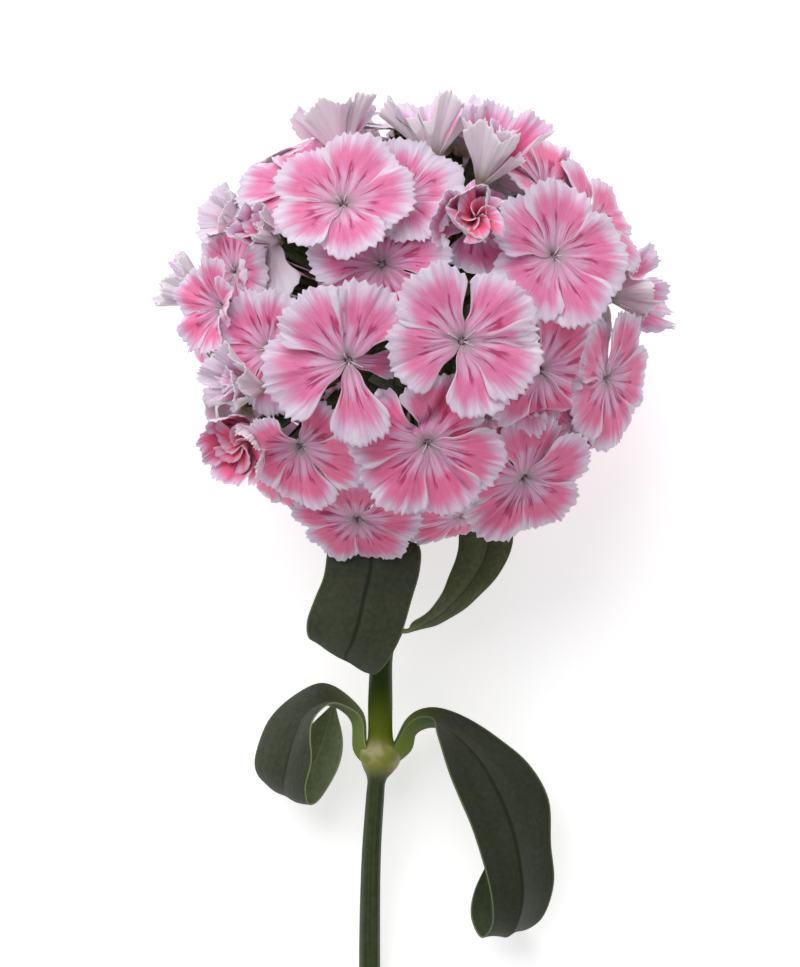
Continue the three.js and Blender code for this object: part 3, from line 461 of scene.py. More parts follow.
def petal_sheets(f, florets):
    """The five petals of a floret, as the middle surface of each: an array of petals, rows and columns.

    A point is a across from -1 to 1 and q along from 0 to 1. It lies a times the half width out to the side,
    in shares of a fifth of the round, and q times the toothed edge along the midline. On top come the
    pinwheel overlap and the ruffles, square to the petal. Rows before the first lead down the claw."""
    teeth, rows = (FAR_TEETH, FAR_ROWS) if f["far"] else (TEETH, ROWS)
    own = f["own"]
    a = np.linspace(-1, 1, teeth * COLUMNS_PER_TOOTH + 1)[None, None, :]
    claw = np.linspace(1, 0, CLAW_ROWS, endpoint=False)
    q = np.concatenate([np.zeros(CLAW_ROWS), np.linspace(0, 1, rows) ** 0.85])[None, :, None]
    down = np.concatenate([claw, np.zeros(rows)])[None, :, None]
    k = np.arange(PETALS)[:, None, None]
    number = f["index"] * PETALS + k

    round_edge, tooth = toothed_edge(number, teeth, a)
    long = each_petal(own, "long", 1 + LONG_SPREAD * (chance(number, 15) - 0.5))
    share = q * long * (round_edge + tooth * smooth(q, 0.7, 1.0))
    bent = np.abs(np.asarray(f["bend"], float))[k] > MUCH_BENT
    usual = (1 + WIDE_SPREAD * (chance(number, 9) - 0.5)) * np.where(bent, BENT_WIDE, 1)
    wide = each_petal(own, "wide", usual)
    wide = wide * (0.97 + 0.15 * smooth(share, 0.3, 0.75)) + 0.3 * smooth(share, 0.34, 0.1) + 0 * down
    warp = 0.05 * np.sin(2 * math.pi * (1.3 * a + chance(number, 16))) * (1 - a * a)
    across = (a + warp) * wide

    out, up, rise = midline(f, share, petal_bend(f, k))
    out = out * (1 - 0.45 * down**2)
    up = up - CLAW_DEPTH * down
    rolled = 1 - own.get("roll", 0) * (1 - a) * smooth(share, 0, 0.4)
    stand = PINWHEEL * own.get("sense", 1) * f["size"] * share * across + ruffles(f, number, a, share)
    out, up = out * rolled - stand * np.sin(rise), up + stand * np.cos(rise)
    aside = np.radians(each_petal(own, "turn", TURN_SPREAD * (chance(number, 10) - 0.5)))
    turn = math.radians(f["spin"]) + aside + (k + across / 2) * STEP
    points = bend_clear(f, in_floret(f, out, turn, up), share, florets, PETAL_HALF)
    return points, together(a, q, number + 0.0)


# ---- meshes ----
def grid_normals(points):
    """Unit normals of a grid of points, from its differences along the rows and the columns."""
    return unit(np.cross(np.gradient(points, axis=-3), np.gradient(points, axis=-2)))


def grid_faces(rows, columns, start=0, closed=False):
    """Four-cornered faces of a grid numbered row by row. closed joins the last column to the first."""
    step = columns if closed else columns - 1
    i = np.arange(rows - 1)[:, None] * columns
    j = np.arange(step)[None, :]
    after = (j + 1) % columns
    corners = [i + j, i + after, i + columns + after, i + columns + j]
    return np.stack(corners, axis=-1).reshape(-1, 4) + start


def rim_of(rows, columns):
    """The numbers of a grid's outer points, once round in the same sense as its faces."""
    grid = np.arange(rows * columns).reshape(rows, columns)
    return np.concatenate([grid[0, :-1], grid[:-1, -1], grid[-1, :0:-1], grid[:0:-1, 0]])


def in_scene(name, data):
    """A new object of the scene, at the origin."""
    made = bpy.data.objects.new(name, data)
    bpy.context.scene.collection.objects.link(made)
    return made


class Solid:
    """Points, faces and values that are gathered for one piece."""

    def __init__(self):
        self.points, self.facts, self.faces, self.slots, self.tints = [], [], [], [], []
        self.count = 0
        # a leaf's tint is its painted shade
        self.tint = 0.0  # of what is added next: a petal's blush or a leaf's shade

    def add(self, points, facts, faces):
        """faces is a list of (corner numbers, material slot). Numbers count from this call's first point."""
        points = np.asarray(points, float).reshape(-1, 3)
        self.points.append(points)
        self.facts.append(np.asarray(facts, float).reshape(-1, 3))
        self.tints.append(np.full(len(points), self.tint))
        for corners, slot in faces:
            self.faces.append(corners + self.count)
            self.slots.append(slot)
        self.count += len(points)

    def add_sheet(self, points, facts, half, front, back):
        """A grid with a thickness: both skins lie half to each side of it, and a wall runs round the rim."""
        rows, columns = points.shape[:2]
        normals = grid_normals(points)
        half = np.broadcast_to(half, (rows, columns))[..., None]
        upper = (points + normals * half).reshape(-1, 3)
        lower = (points - normals * half).reshape(-1, 3)
        lower[:, 2] = np.maximum(lower[:, 2], 0)
        count = rows * columns
        faces = grid_faces(rows, columns)
        rim = rim_of(rows, columns)
        after = np.roll(rim, -1)
        wall = np.stack([rim, rim + count, after + count, after], axis=-1)
        both = np.concatenate([facts.reshape(-1, 3)] * 2)
        skins = [(faces[:, ::-1], front), (faces + count, back), (wall[:, ::-1], back)]
        self.add(np.concatenate([upper, lower]), both, skins)

    def add_tube(self, path, radii, sides, slot, facts=None, tip=None):
        """A ring of sides carried along a path, square to it, with a radius at each station. Both ends are
        closed. tip shifts points along the path."""
        path = np.asarray(path, float)
        along = unit(np.gradient(path, axis=0))
        level = np.where(np.abs(along[:, :1]) > 0.9, [[0.0, 0, 1]], [[1.0, 0, 0]])
        across = unit(level - along * dot(along, level)[:, None])
        up = np.cross(along, across)
        turn = once_round(sides)
        r = np.asarray(radii, float)
        r = r[:, None] if r.ndim == 1 else r
        ring = across[:, None] * np.cos(turn)[:, None] + up[:, None] * np.sin(turn)[:, None]
        points = path[:, None] + ring * (r + 0 * turn)[..., None]
        if tip is not None:
            points = points + along[:, None] * tip[..., None]
        rows = len(path)
        first = np.arange(sides)[None, :]
        skins = [grid_faces(rows, sides, closed=True), first[:, ::-1], first + (rows - 1) * sides]
        if facts is None:
            facts = together(turn[None] / math.pi - 1, np.linspace(0, 1, rows)[:, None], 0)
        self.add(points, facts, [(skin, slot) for skin in skins])

    def piece(self, name, materials, replaced):
        """Puts everything into one mesh object, which stands for CAD nodes and rides on the one body."""
        mesh = bpy.data.meshes.new(name)
        points = np.concatenate(self.points) * MM
        sides = np.concatenate([np.full(len(f), f.shape[1]) for f in self.faces])
        corners = np.concatenate([f.ravel() for f in self.faces])
        slots = np.concatenate([np.full(len(f), s) for f, s in zip(self.faces, self.slots)])
        mesh.vertices.add(len(points))
        mesh.vertices.foreach_set("co", points.astype(np.float32).ravel())
        mesh.loops.add(len(corners))
        mesh.loops.foreach_set("vertex_index", corners.astype(np.int32))
        mesh.polygons.add(len(sides))
        mesh.polygons.foreach_set("loop_start", (np.cumsum(sides) - sides).astype(np.int32))
        mesh.polygons.foreach_set("material_index", slots.astype(np.int32))
        mesh.polygons.foreach_set("use_smooth", np.ones(len(sides), bool))
        mesh.update(calc_edges=True)
        mesh.validate()
        growth = mesh.attributes.new("growth", "FLOAT_VECTOR", "POINT")
        growth.data.foreach_set("vector", np.concatenate(self.facts).astype(np.float32).ravel())
        tint = mesh.attributes.new("tint", "FLOAT", "POINT")
        tint.data.foreach_set("value", np.concatenate(self.tints).astype(np.float32))
        for material in materials:
            mesh.materials.append(material)
        obj = in_scene(name, mesh)
        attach(obj, "root")
        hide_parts(*replaced)


# ---- materials ----
def linear(level):
    """A screen's level, 0 to 255, in linear light: ((c + 0.055) / 1.055)^2.4, or c / 12.92 if dark."""
    c = level / 255
    return c / 12.92 if c <= 0.04045 else ((c + 0.055) / 1.055) ** 2.4


def give(socket, value):
    """Links another socket to this one, or sets its value."""
    if isinstance(value, bpy.types.NodeSocket):
        socket.id_data.links.new(value, socket)
    else:
        socket.default_value = value


def put(made, values):
    """Gives a node its inputs, by name or number."""
    for key, value in values.items():
        give(made.inputs[key], value)


def node(tree, kind, values=None, **settings):
    """The outputs of a new shader node with these inputs and settings."""
    made = tree.nodes.new(kind)
    for key, value in settings.items():
        setattr(made, key, value)
    put(made, values or {})
    return made.outputs


def tree_of(*values):
    """The node tree of the first socket among these."""
    return next(value.id_data for value in values if isinstance(value, bpy.types.NodeSocket))


def calc(operation, a, b=0.0, c=0.0):
    """A sum of single numbers, such as a times b plus c."""
    return node(tree_of(a, b, c), "ShaderNodeMath", {0: a, 1: b, 2: c}, operation=operation)[0]


def times(a, b):
    """a times b."""
    return calc("MULTIPLY", a, b)


def step_up(value, low, high, to_low=0.0, to_high=1.0):
    """Turns smoothly from to_low below low to to_high above high."""
    values = {"Value": value, "From Min": low, "From Max": high, "To Min": to_low, "To Max": to_high}
    return node(tree_of(value), "ShaderNodeMapRange", values, interpolation_type="SMOOTHSTEP")[0]


MIX_INPUTS = (("Factor", "VALUE"), ("A", "RGBA"), ("B", "RGBA"))


def blend(share, a, b, kind="MIX"):
    """Colour a where share is 0 and b where it is 1. A colour is a socket, or three numbers of a screen."""
    made = tree_of(share).nodes.new("ShaderNodeMix")
    made.data_type, made.blend_type = "RGBA", kind
    factor, under, over = (s for s in made.inputs if (s.name, s.type) in MIX_INPUTS)
    give(factor, share)
    for socket, colour in ((under, a), (over, b)):
        give(socket, (*map(linear, colour), 1.0) if isinstance(colour, tuple) else colour)
    return next(s for s in made.outputs if s.type == "RGBA")


def noise(vector, scale, detail=2.0, roughness=0.5):
    """A noise value, usually 0.3 to 0.7."""
    values = {"Vector": vector, "Scale": scale, "Detail": detail, "Roughness": roughness}
    return node(tree_of(vector), "ShaderNodeTexNoise", values)[0]


def parts(vector):
    """The three parts of a vector."""
    return node(tree_of(vector), "ShaderNodeSeparateXYZ", {0: vector})


def place_on(tree):
    """Where a point of the piece is, in metres."""
    return node(tree, "ShaderNodeTexCoord")["Object"]


def told(tree, name, output):
    """What a piece tells of its points: growth as a Vector, tint as a Fac."""
    return node(tree, "ShaderNodeAttribute", attribute_name=name, attribute_type="GEOMETRY")[output]


def group(name, inputs, outputs):
    """An empty node group with named sockets, and its two end nodes."""
    tree = bpy.data.node_groups.new(name, "ShaderNodeTree")
    for key, kind in inputs:
        tree.interface.new_socket(key, in_out="INPUT", socket_type=kind)
    for key in outputs:
        tree.interface.new_socket(key, in_out="OUTPUT", socket_type="NodeSocketFloat")
    return tree, tree.nodes.new("NodeGroupInput").outputs, tree.nodes.new("NodeGroupOutput").inputs


APART = 7.31  # from one petal's place in the noise to the next one's


def grown_lines():
    """Node group: lines along a petal or a leaf, broad streaks and fine veins, each of them a noise that is
    drawn out along the growth. Growth holds across, along and a number for the petal."""
    inputs = [("Growth", "NodeSocketVector"), ("Streaks", "NodeSocketFloat"), ("Veins", "NodeSocketFloat")]
    tree, given, result = group("grown lines", inputs, ["Streak", "Vein"])
    across, along, number = parts(given["Growth"])
    for key, count, stretch, detail in (("Streak", "Streaks", 1.3, 3.0), ("Vein", "Veins", 1.8, 2.0)):
        drawn = (times(across, given[count]), times(along, stretch), times(number, APART))
        place = node(tree, "ShaderNodeCombineXYZ", dict(enumerate(drawn)))[0]
        value = noise(place, 1.0, detail, 0.6)
        tree.links.new(step_up(value, 0.28, 0.72), result[key])
    return tree


def new_material(name):
    """A material with its tree and its Principled shader."""
    material = bpy.data.materials.new(name)
    material.use_nodes = True
    tree = material.node_tree
    return material, tree, next(n for n in tree.nodes if n.type == "BSDF_PRINCIPLED")


def with_lines(growth, lines, streaks, veins):
    """The two outputs of the lines' group, Streak and Vein."""
    values = {"Growth": growth, "Streaks": streaks, "Veins": veins}
    return node(tree_of(growth), "ShaderNodeGroup", values, node_tree=lines)


def finish_material(shader, colour, roughness, height, bump, sheen=0.0, through=0.0):
    """Links a colour and a height, and sets the finish. through is the light that spreads under the skin."""
    values = {"Height": height, "Distance": bump * MM, "Strength": 1.0}
    raised = node(tree_of(height), "ShaderNodeBump", values)
    put(shader, {
        "Base Color": colour, "Normal": raised[0], "Roughness": roughness, "Specular IOR Level": 0.3,
        "Sheen Weight": sheen, "Sheen Roughness": 0.5, "Subsurface Weight": through,
        "Subsurface Radius": (1.0, 0.75, 0.85), "Subsurface Scale": 0.6 * MM,
    })


MARKS = 3.4  # dark marks across one petal


def petal_face(lines):
    """The inner side of a petal: a grey-mauve throat, a pale zone with dark veins that end in marks, a pink
    band, and a white toothed edge that fades through lilac into the pink in streaks. A thin pale line runs
    down both sides."""
    material, tree, shader = new_material("petal_face")
    growth = told(tree, "growth", "Vector")
    across, along, number = parts(growth)
    streak, vein = with_lines(growth, lines, 4.0, 10.0)
    away = calc("ABSOLUTE", across)
    blush = told(tree, "tint", "Fac")
    deeper = calc("SUBTRACT", blush, USUAL_BLUSH)

    uneven = calc("MULTIPLY_ADD", calc("SUBTRACT", streak, 0.5), 0.13, along)
    uneven = calc("MULTIPLY_ADD", calc("SUBTRACT", vein, 0.5), 0.09, uneven)
    edge = calc("MULTIPLY_ADD", calc("POWER", away, 6.0), 0.2, uneven)
    edge = calc("MULTIPLY_ADD", deeper, -0.2, edge)
    pink = blend(streak, (236, 142, 184), (228, 118, 165))
    pink = blend(step_up(vein, 0.3, 0.9, 0.0, 0.3), pink, (238, 160, 200))
    pink = blend(step_up(deeper, 0.0, 0.5), pink, (248, 92, 130))
    inner = blend(vein, (208, 136, 176), (228, 172, 204))
    inner = blend(step_up(deeper, 0.2, 0.5), inner, (240, 84, 118))

    wander = calc("MULTIPLY_ADD", streak, 0.5, times(number, 0.37))
    between = calc("FRACT", calc("MULTIPLY_ADD", across, MARKS / 2, wander))
    off_mark = calc("ABSOLUTE", calc("SUBTRACT", between, 0.5))
    wedge = times(step_up(off_mark, 0.2, 0.4), step_up(away, 0.8, 0.5))
    inner = blend(times(wedge, 0.5), inner, (242, 206, 228))
    colour = blend(step_up(uneven, 0.34, 0.5), inner, pink)
    reach = step_up(along, 0.12, 0.48, 0.015, 0.13)
    mark = step_up(calc("DIVIDE", off_mark, reach), 1.3, 0.5)
    mark = times(mark, step_up(along, 0.1, 0.34))
    mark = times(mark, step_up(uneven, 0.6, 0.48))
    colour = blend(times(mark, 0.85), colour, (184, 52, 108))

    colour = blend(step_up(edge, 0.66, 0.85, 0.0, 0.8), colour, (228, 182, 212))
    white = blend(vein, (216, 199, 224), (236, 223, 239))
    colour = blend(step_up(edge, 0.77, 0.97), colour, white)
    colour = blend(step_up(blush, 0.0, -1.0, 0.0, 0.75), colour, (236, 227, 237))
    line = times(step_up(away, 0.86, 0.98), step_up(along, 0.2, 0.45, 0.0, 0.6))
    colour = blend(line, colour, (238, 208, 226))
    colour = blend(times(step_up(along, 0.2, 0.03), 0.75), colour, (190, 168, 176))
    grain = noise(place_on(tree), 1900.0, 3.0, 0.7)
    colour = blend(step_up(grain, 0.35, 0.65, 0.0, 0.22), colour, (196, 116, 160), "SOFT_LIGHT")
    height = calc("MULTIPLY_ADD", grain, 0.9, calc("MULTIPLY_ADD", streak, 0.5, vein))
    finish_material(shader, colour, 0.62, height, 0.07, sheen=0.12, through=0.45)
    return material


def petal_back(lines):
    """The outer side of a petal: white with a lilac cast, pinker along the middle, greenish at the root."""
    material, tree, shader = new_material("petal_back")
    growth = told(tree, "growth", "Vector")
    along = parts(growth)[1]
    streak, vein = with_lines(growth, lines, 3.0, 12.0)
    blush = told(tree, "tint", "Fac")
    pale = blend(vein, (243, 228, 239), (250, 240, 247))
    band = times(step_up(along, 0.25, 0.45), step_up(along, 0.9, 0.6))
    band = times(band, step_up(streak, 0.1, 0.9, 0.35, 0.9))
    colour = blend(times(band, blush), pale, (226, 150, 182))
    colour = blend(step_up(along, 0.34, 0.02), colour, (186, 180, 146))
    height = calc("MULTIPLY_ADD", streak, 0.6, vein)
    finish_material(shader, colour, 0.66, height, 0.05, sheen=0.1, through=0.6)
    return material


def filament():
    """The white threads in a throat."""
    material, tree, shader = new_material("filament")
    along = parts(told(tree, "growth", "Vector"))[1]
    colour = blend(step_up(along, 0.0, 0.6), (176, 160, 166), (232, 220, 232))
    finish_material(shader, colour, 0.5, along, 0.02)
    return material


def green_skin(name, lines, dark, light, streaks=5.0, roughness=0.5, mottle=900.0, bump=0.05, lined=0.5):
    """Green skin with a fine mottle, and with lines along its growth that show more the higher lined is."""
    material, tree, shader = new_material(name)
    growth = told(tree, "growth", "Vector")
    streak, vein = with_lines(growth, lines, streaks, streaks * 4)
    grain = noise(place_on(tree), mottle, 3.0, 0.6)
    share = calc("MULTIPLY_ADD", grain, 1.1 - lined, times(streak, lined))
    colour = blend(step_up(share, 0.25, 0.85), dark, light)
    height = calc("MULTIPLY_ADD", grain, 0.5, times(vein, 2 * lined))
    finish_material(shader, colour, roughness, height, bump)
    return material, tree, shader, growth, colour


def leaf_skin(name, lines, dark, light, edge, rib, shaded):
    """A leaf's skin: mottled green, a rib along the middle, fresh green at the root, and a thin pale margin.
    shaded is the share of the piece's tint, its painted shade, that darkens it towards near-black green."""
    material, tree, shader, growth, colour = green_skin(
        name, lines, dark, light, 4.0, 0.6, 1100.0, 0.07, 0.14)
    across, along, _ = parts(growth)
    away = calc("ABSOLUTE", across)
    clouds = noise(place_on(tree), 260.0, 4.0, 0.7)
    colour = blend(step_up(clouds, 0.3, 0.7, 0.0, 0.4), colour, dark)
    # painted shade: the piece's tint darkens the greens towards near black
    colour = blend(times(told(tree, "tint", "Fac"), shaded), colour, (16, 22, 12))
    # the rib line: on the upper and fresh sides a dark line of painted shade in the midrib's groove
    colour = blend(step_up(away, 0.07, 0.015, 0.0, 0.85), colour, rib)
    colour = blend(step_up(along, 0.32, 0.02, 0.0, 0.95), colour, (124, 142, 56))
    colour = blend(step_up(away, 0.955, 0.99), colour, edge)
    put(shader, {"Base Color": colour, "Specular IOR Level": 0.2})
    return material


def stem_skin(lines):
    """The stem: dull green, a deeper one above the lower leaves with yellow-green next to them, and a pale
    collar at each pair of leaves. Places and widths along Y are in metres here."""
    material, tree, shader, _, colour = green_skin(
        "stem_skin", lines, (50, 60, 36), (74, 84, 52), 6.0, 0.42, 700.0, 0.03)
    place = place_on(tree)
    y = parts(place)[1]
    low, high = LOWER_NODE_Y * MM, UPPER_NODE_Y * MM
    upper = step_up(y, low + 0.001, low + 0.004)
    colour = blend(upper, colour, (46, 64, 0))
    fresh = times(upper, step_up(y, low + 0.014, low + 0.003))
    colour = blend(fresh, colour, (98, 112, 22))
    patch = noise(place, 300.0, 3.0)
    for middle, wide in ((low, 0.0046), (high, 0.0026)):
        near = step_up(calc("ABSOLUTE", calc("SUBTRACT", y, middle)), wide, wide * 0.3)
        collar = blend(step_up(patch, 0.4, 0.7), (138, 142, 60), (182, 172, 132))
        colour = blend(near, colour, collar)
    put(shader, {"Base Color": colour, "Specular IOR Level": 0.15})
    return material


# ---- pieces ----
def fine_florets(florets, looks):
    """Each floret: five thin petals on one claw, and in the throat a roll of petals or a few threads."""
    for f in florets:
        solid = Solid()
        sheets, facts = petal_sheets(f, florets)
        half = PETAL_HALF * (1 - 0.6 * smooth(facts[0, :, :, 1], 0.8, 1.0))
        tints = f["own"].get("tint", (f["blush"],) * PETALS)
        for sheet, fact, tint in zip(sheets, facts, tints):
            solid.tint = tint
            solid.add_sheet(sheet, fact, half, 0, 1)
        if f["number"] in ROLLED:
            add_rolled(solid, f)
        else:
            add_threads(solid, f)
        solid.piece(f["name"] + "_petals", looks, [f["name"]])


ROLL_TURN = math.radians(128)  # how far round each rolled petal reaches
ROLL_TEETH = 7  # along the rim of each
ROLL_TOOTH = 0.32  # how long they are
ROLL_WAVE = 0.22  # how deep the wall waves
ROLL_LIP = 0.5  # how far the rim turns out


def add_rolled(solid, f):
    """Five petals rolled into each other like a pinwheel. Each is a wall on a line that starts at the outer
    radius and winds inwards, R(1 - 0.9 s^1.1). It flares like a trumpet, 0.14 + 0.86 q^1.6 of that radius at
    q^0.6 of its height, and its toothed rim turns out by q^7."""
    wide, high, solid.tint = ROLLED[f["number"]]
    s = np.linspace(0, 1, 29)[None, :]
    q = np.linspace(0, 1, 14)[:, None]
    for k in range(PETALS):
        number = f["index"] * PETALS + k
        draw = [chance(number, 60 + i) - 0.5 for i in range(4)]
        turn = math.radians(f["spin"]) + k * STEP + ROLL_TURN * s * (1 + 0.2 * draw[0])
        rim = wide * (1 + 0.16 * draw[1]) * (1 - 0.9 * s**1.1)
        wave = ROLL_WAVE * np.sin(7 * s + 9 * draw[2]) * q**2
        r = rim * (0.14 + 0.86 * q**1.6) + ROLL_LIP * q**7 * (1 - 0.6 * s) + wave
        tooth = ROLL_TOOTH * np.abs((s * ROLL_TEETH) % 1 * 2 - 1) * smooth(q, 0.75, 1)
        up = high * q**0.6 * (1 + 0.12 * draw[3] - 0.2 * s + 0.1 * np.sin(5 * s + 6 * draw[1])) + tooth
        facts = together(1.5 * s - 0.75, 0.38 + 0.57 * q, number + 0.5)
        half = PETAL_HALF * (1 - 0.5 * smooth(q, 0.8, 1.0))
        solid.add_sheet(in_floret(f, r, turn, up), facts, half, 0, 1)


THREADS = 5
THREAD_R = (0.11, 0.07)  # at the root and below the tip
TIP_R, FAR_TIP_R = 0.12, 0.05
NEAR_THREAD, FAR_THREAD = 1.3, 5.5  # the shortest thread, and the ones that stand out far
LONG_THREADS = (7, 8, 10)  # the florets in which two threads stand out far
KNOT = (0.4, 0.56, 0.66, 0.66, 0.5, 0.2)  # radii of the knot of thread roots that fills the throat
KNOT_DEPTH = (1.6, 0.6)  # of its foot and its top, below the throat
KNOT_SIDES = 12


def add_threads(solid, f):
    """Threads out of the throat, up the axis and then over to one side: start + s(2-s)*up + s^2*over."""
    depth = np.linspace(*KNOT_DEPTH, len(KNOT))[:, None]
    solid.add_tube(below(f, depth), KNOT, KNOT_SIDES, 2, np.zeros((len(KNOT), KNOT_SIDES, 3)))
    s = np.linspace(0, 1, 9)[:, None]
    for i in range(THREADS):
        draw = [chance(f["index"] * THREADS + i, 40 + j) for j in range(4)]
        far = i < 2 and f["number"] in LONG_THREADS
        long = FAR_THREAD if far else NEAR_THREAD + NEAR_THREAD * draw[0]
        turn = 2 * math.pi * (0.85 + 0.08 * i if far else draw[1])
        aside = f["u"] * math.cos(turn) + f["v"] * math.sin(turn)
        steep = math.radians(f["open"]) + 0.4
        start = below(f, 1.0) + aside * 0.3
        up = f["axis"] * (0.6 + long * math.sin(steep) * 0.6 * (0.6 + draw[2]))
        path = start + s * (2 - s) * up + s**2 * aside * long * math.cos(steep) * (0.5 + 0.9 * draw[3])
        radii = np.linspace(*THREAD_R, len(s))
        radii[-1] = FAR_TIP_R if far else TIP_R
        solid.add_tube(path, radii, 5, 2)


def bezier(points, count):
    """Even steps along the curve that three control points draw, (1-t)^2 a + 2t(1-t) b + t^2 c."""
    t = np.linspace(0, 1, count)[:, None]
    a, b, c = points
    return (1 - t) ** 2 * a + 2 * t * (1 - t) * b + t**2 * c


CALYX_SIDES, CALYX_RIBS = 20, 10
CALYX_RIB = 0.045  # height of a rib, as a share of the radius
CALYX_TOOTH, TOOTH_ROOT = 1.3, 0.4  # how long the five teeth are, and how deep their roots lie
BRACTS = 4
BRACT_LONG, BRACT_SPREAD = 9, 4  # the least length, and how much more there may be
BRACT_WIDE, BRACT_HALF = 1.3, 0.12  # half the width at the widest place, and half the thickness
BRACT_OUT = 2.0  # from the middle of the calyx


def add_calyx(solid, f):
    """A calyx on its stalk, and the bracts round it. The calyx is a tube along a curve from the core to the
    petals, with ribs, 1 + h cos 10u, and five triangular teeth. A bract is a sheet that narrows to a point,
    (1-s)^0.8 (0.5 + 2s(1-s)) wide, and bends away by s^2."""
    top = below(f, CALYX_TOP + 0.1)
    middle = below(f, CALYX_TOP + 6)
    root = unit(below(f, CALYX_TOP + CALYX_LONG) - HEAD) * (CORE_R - 4) + HEAD
    t = np.linspace(0, 1, 11)
    path = bezier([root, middle, top], len(t))
    radius = np.interp(t, [0, 0.25, 0.45, 0.8, 1], [0.7, 0.9, 1.7, CALYX_R, CALYX_R * 0.9])
    turn = once_round(CALYX_SIDES)
    ribs = 1 + CALYX_RIB * np.cos(turn * CALYX_RIBS) * (t > 0.4)[:, None]
    teeth = np.zeros((len(t), CALYX_SIDES))
    teeth[-1] = CALYX_TOOTH * (1 - np.abs((turn / STEP) % 1 * 2 - 1)) - TOOTH_ROOT
    solid.add_tube(path, radius[:, None] * ribs, CALYX_SIDES, 0, tip=teeth)
    along = unit(path[6] - path[3])
    side = unit(np.cross(along, [0.3, 0.5, 0.8]))
    across = np.cross(along, side)
    s = np.linspace(0, 1, 9)[:, None]
    w = np.linspace(-1, 1, 5)[None, :]
    for b in range(BRACTS):
        draw = [chance(f["index"] * BRACTS + b, 50 + i) for i in range(3)]
        turn = 2 * math.pi * (b + 0.6 * draw[0]) / BRACTS
        away = side * math.cos(turn) + across * math.sin(turn)
        out = BRACT_OUT + 1.6 * s**2 * draw[1] + 0.25 * (1 - w**2)
        half = BRACT_WIDE * (1 - s) ** 0.8 * (0.5 + 2 * s * (1 - s)) + 0.04
        long = BRACT_LONG + BRACT_SPREAD * draw[2]
        points = path[3] + along * (s * long)[..., None] + away * out[..., None]
        points = points + np.cross(along, away) * (half * w)[..., None]
        solid.add_sheet(points, together(w, s, b), BRACT_HALF, 1, 1)


CORE_ROWS, CORE_COLUMNS = 28, 44
POLE = 0.04  # the small closed hole at each pole of the core, in radians
BRANCHES = 9
BRANCH_R = (1.0, 1.3)  # at the stem and at the core
FOOT_R = (1.7, 2.05, 2.3, 2.2, 1.6)
FOOT = (0.8, -3.4)  # it begins inside the end of the stem and ends towards the head


def add_core(solid):
    """The rough ball inside the head, r = R + 0.7 sin 7u sin 9v + 0.4 sin(13u + 5v) for u round it and v from
    pole to pole."""
    polar = np.linspace(POLE, math.pi - POLE, CORE_ROWS)[:, None]
    turn = once_round(CORE_COLUMNS)[None, :]
    rough = CORE_R - 1.2 + 0.7 * np.sin(7 * turn) * np.sin(9 * polar) + 0.4 * np.sin(13 * turn + 5 * polar)
    ball = together(np.sin(polar) * np.cos(turn), np.sin(polar) * np.sin(turn), np.cos(polar))
    first = np.arange(CORE_COLUMNS)[None, :]
    last = first + (CORE_ROWS - 1) * CORE_COLUMNS
    skins = [grid_faces(CORE_ROWS, CORE_COLUMNS, closed=True)[:, ::-1], first, last[:, ::-1]]
    facts = together(turn / math.pi - 1, polar / math.pi, 0)
    solid.add(HEAD + ball * rough[..., None], facts, [(skin, 0) for skin in skins])


def fine_stalks(florets, looks):
    """The green inside of the head: a rough core, the branches that carry it, and the calyces."""
    solid = Solid()
    add_core(solid)
    down = unit(HUB - HEAD)
    side = unit(np.cross(down, [0, 0, 1.0]))
    for angle in once_round(BRANCHES):
        spread = side * math.cos(angle) + np.cross(down, side) * math.sin(angle)
        start = HUB - down * 0.6 + spread * 0.9
        end = HEAD + down * CORE_R * 0.5 + spread * CORE_R * 0.62
        path = bezier([start, start - down * 9 + spread * 2.0, end], 9)
        solid.add_tube(path, np.linspace(*BRANCH_R, len(path)), 10, 0)
    solid.add_tube(HUB + down * np.linspace(*FOOT, len(FOOT_R))[:, None], FOOT_R, 20, 0)
    for f in florets:
        add_calyx(solid, f)
    solid.piece("head_stalks_fine", looks, ["head_stalks"])


def through(points, per):
    """A smooth curve through given points, Catmull-Rom, with per steps from each to the next."""
    points = np.asarray(points, float)
    ends = [2 * points[:1] - points[1:2], points, 2 * points[-1:] - points[-2:-1]]
    p = np.concatenate(ends)
    t = (np.arange(per) / per).reshape((-1,) + (1,) * (points.ndim - 1))
    spans = []
    for i in range(len(points) - 1):
        a, b, c, d = p[i:i + 4]
        spans.append(0.5 * (2 * b + (c - a) * t + (2 * a - 5 * b + 4 * c - d) * t**2
                            + (3 * b - a - 3 * c + d) * t**3))
    return np.concatenate(spans + [points[-1:]])


STEM_SIDES = 40
STEM_RIDGES = 8
STEM_RIDGE = 0.012  # height of the ridges along the stem, as a share of its radius
THINNEST = 1.4  # the least radius of the smooth line
STEM_END = (0.3, 2.1)  # the stem stops this far before the hub, with this radius


def fine_stem(looks):
    """The stem: rings carried along the smooth line through its stations, with a swollen node under each
    pair of leaves, low ridges, 1 + h cos 8u, and the lower end cut off aslant."""
    lying = [[CUT_X, CUT_Y + dy, CUT_R - HEAD[2], CUT_R] for dy in (0, CUT_RESTS)]
    top = HUB - HEAD
    end = top - unit(top - STEM[-1][:3]) * STEM_END[0]
    fine = through(np.array(lying + [list(row) for row in STEM] + [[*end, STEM_END[1]]]), 8)
    path, radii = fine[:, :3] + HEAD, np.maximum(fine[:, 3], THINNEST)
    path[:, 2] = np.maximum(path[:, 2], radii * (1 + STEM_RIDGE))
    turn = once_round(STEM_SIDES)
    ridges = 1 + STEM_RIDGE * np.cos(turn * STEM_RIDGES)
    tip = np.zeros((len(path), STEM_SIDES))
    tip[0] = CUT_SLANT * CUT_R * np.sin(turn)
    solid = Solid()
    solid.add_tube(path, radii[:, None] * ridges, STEM_SIDES, 0, tip=tip)
    solid.slots[1] = 1  # the cut face
    solid.piece("stem_fine", looks, ["stem"])


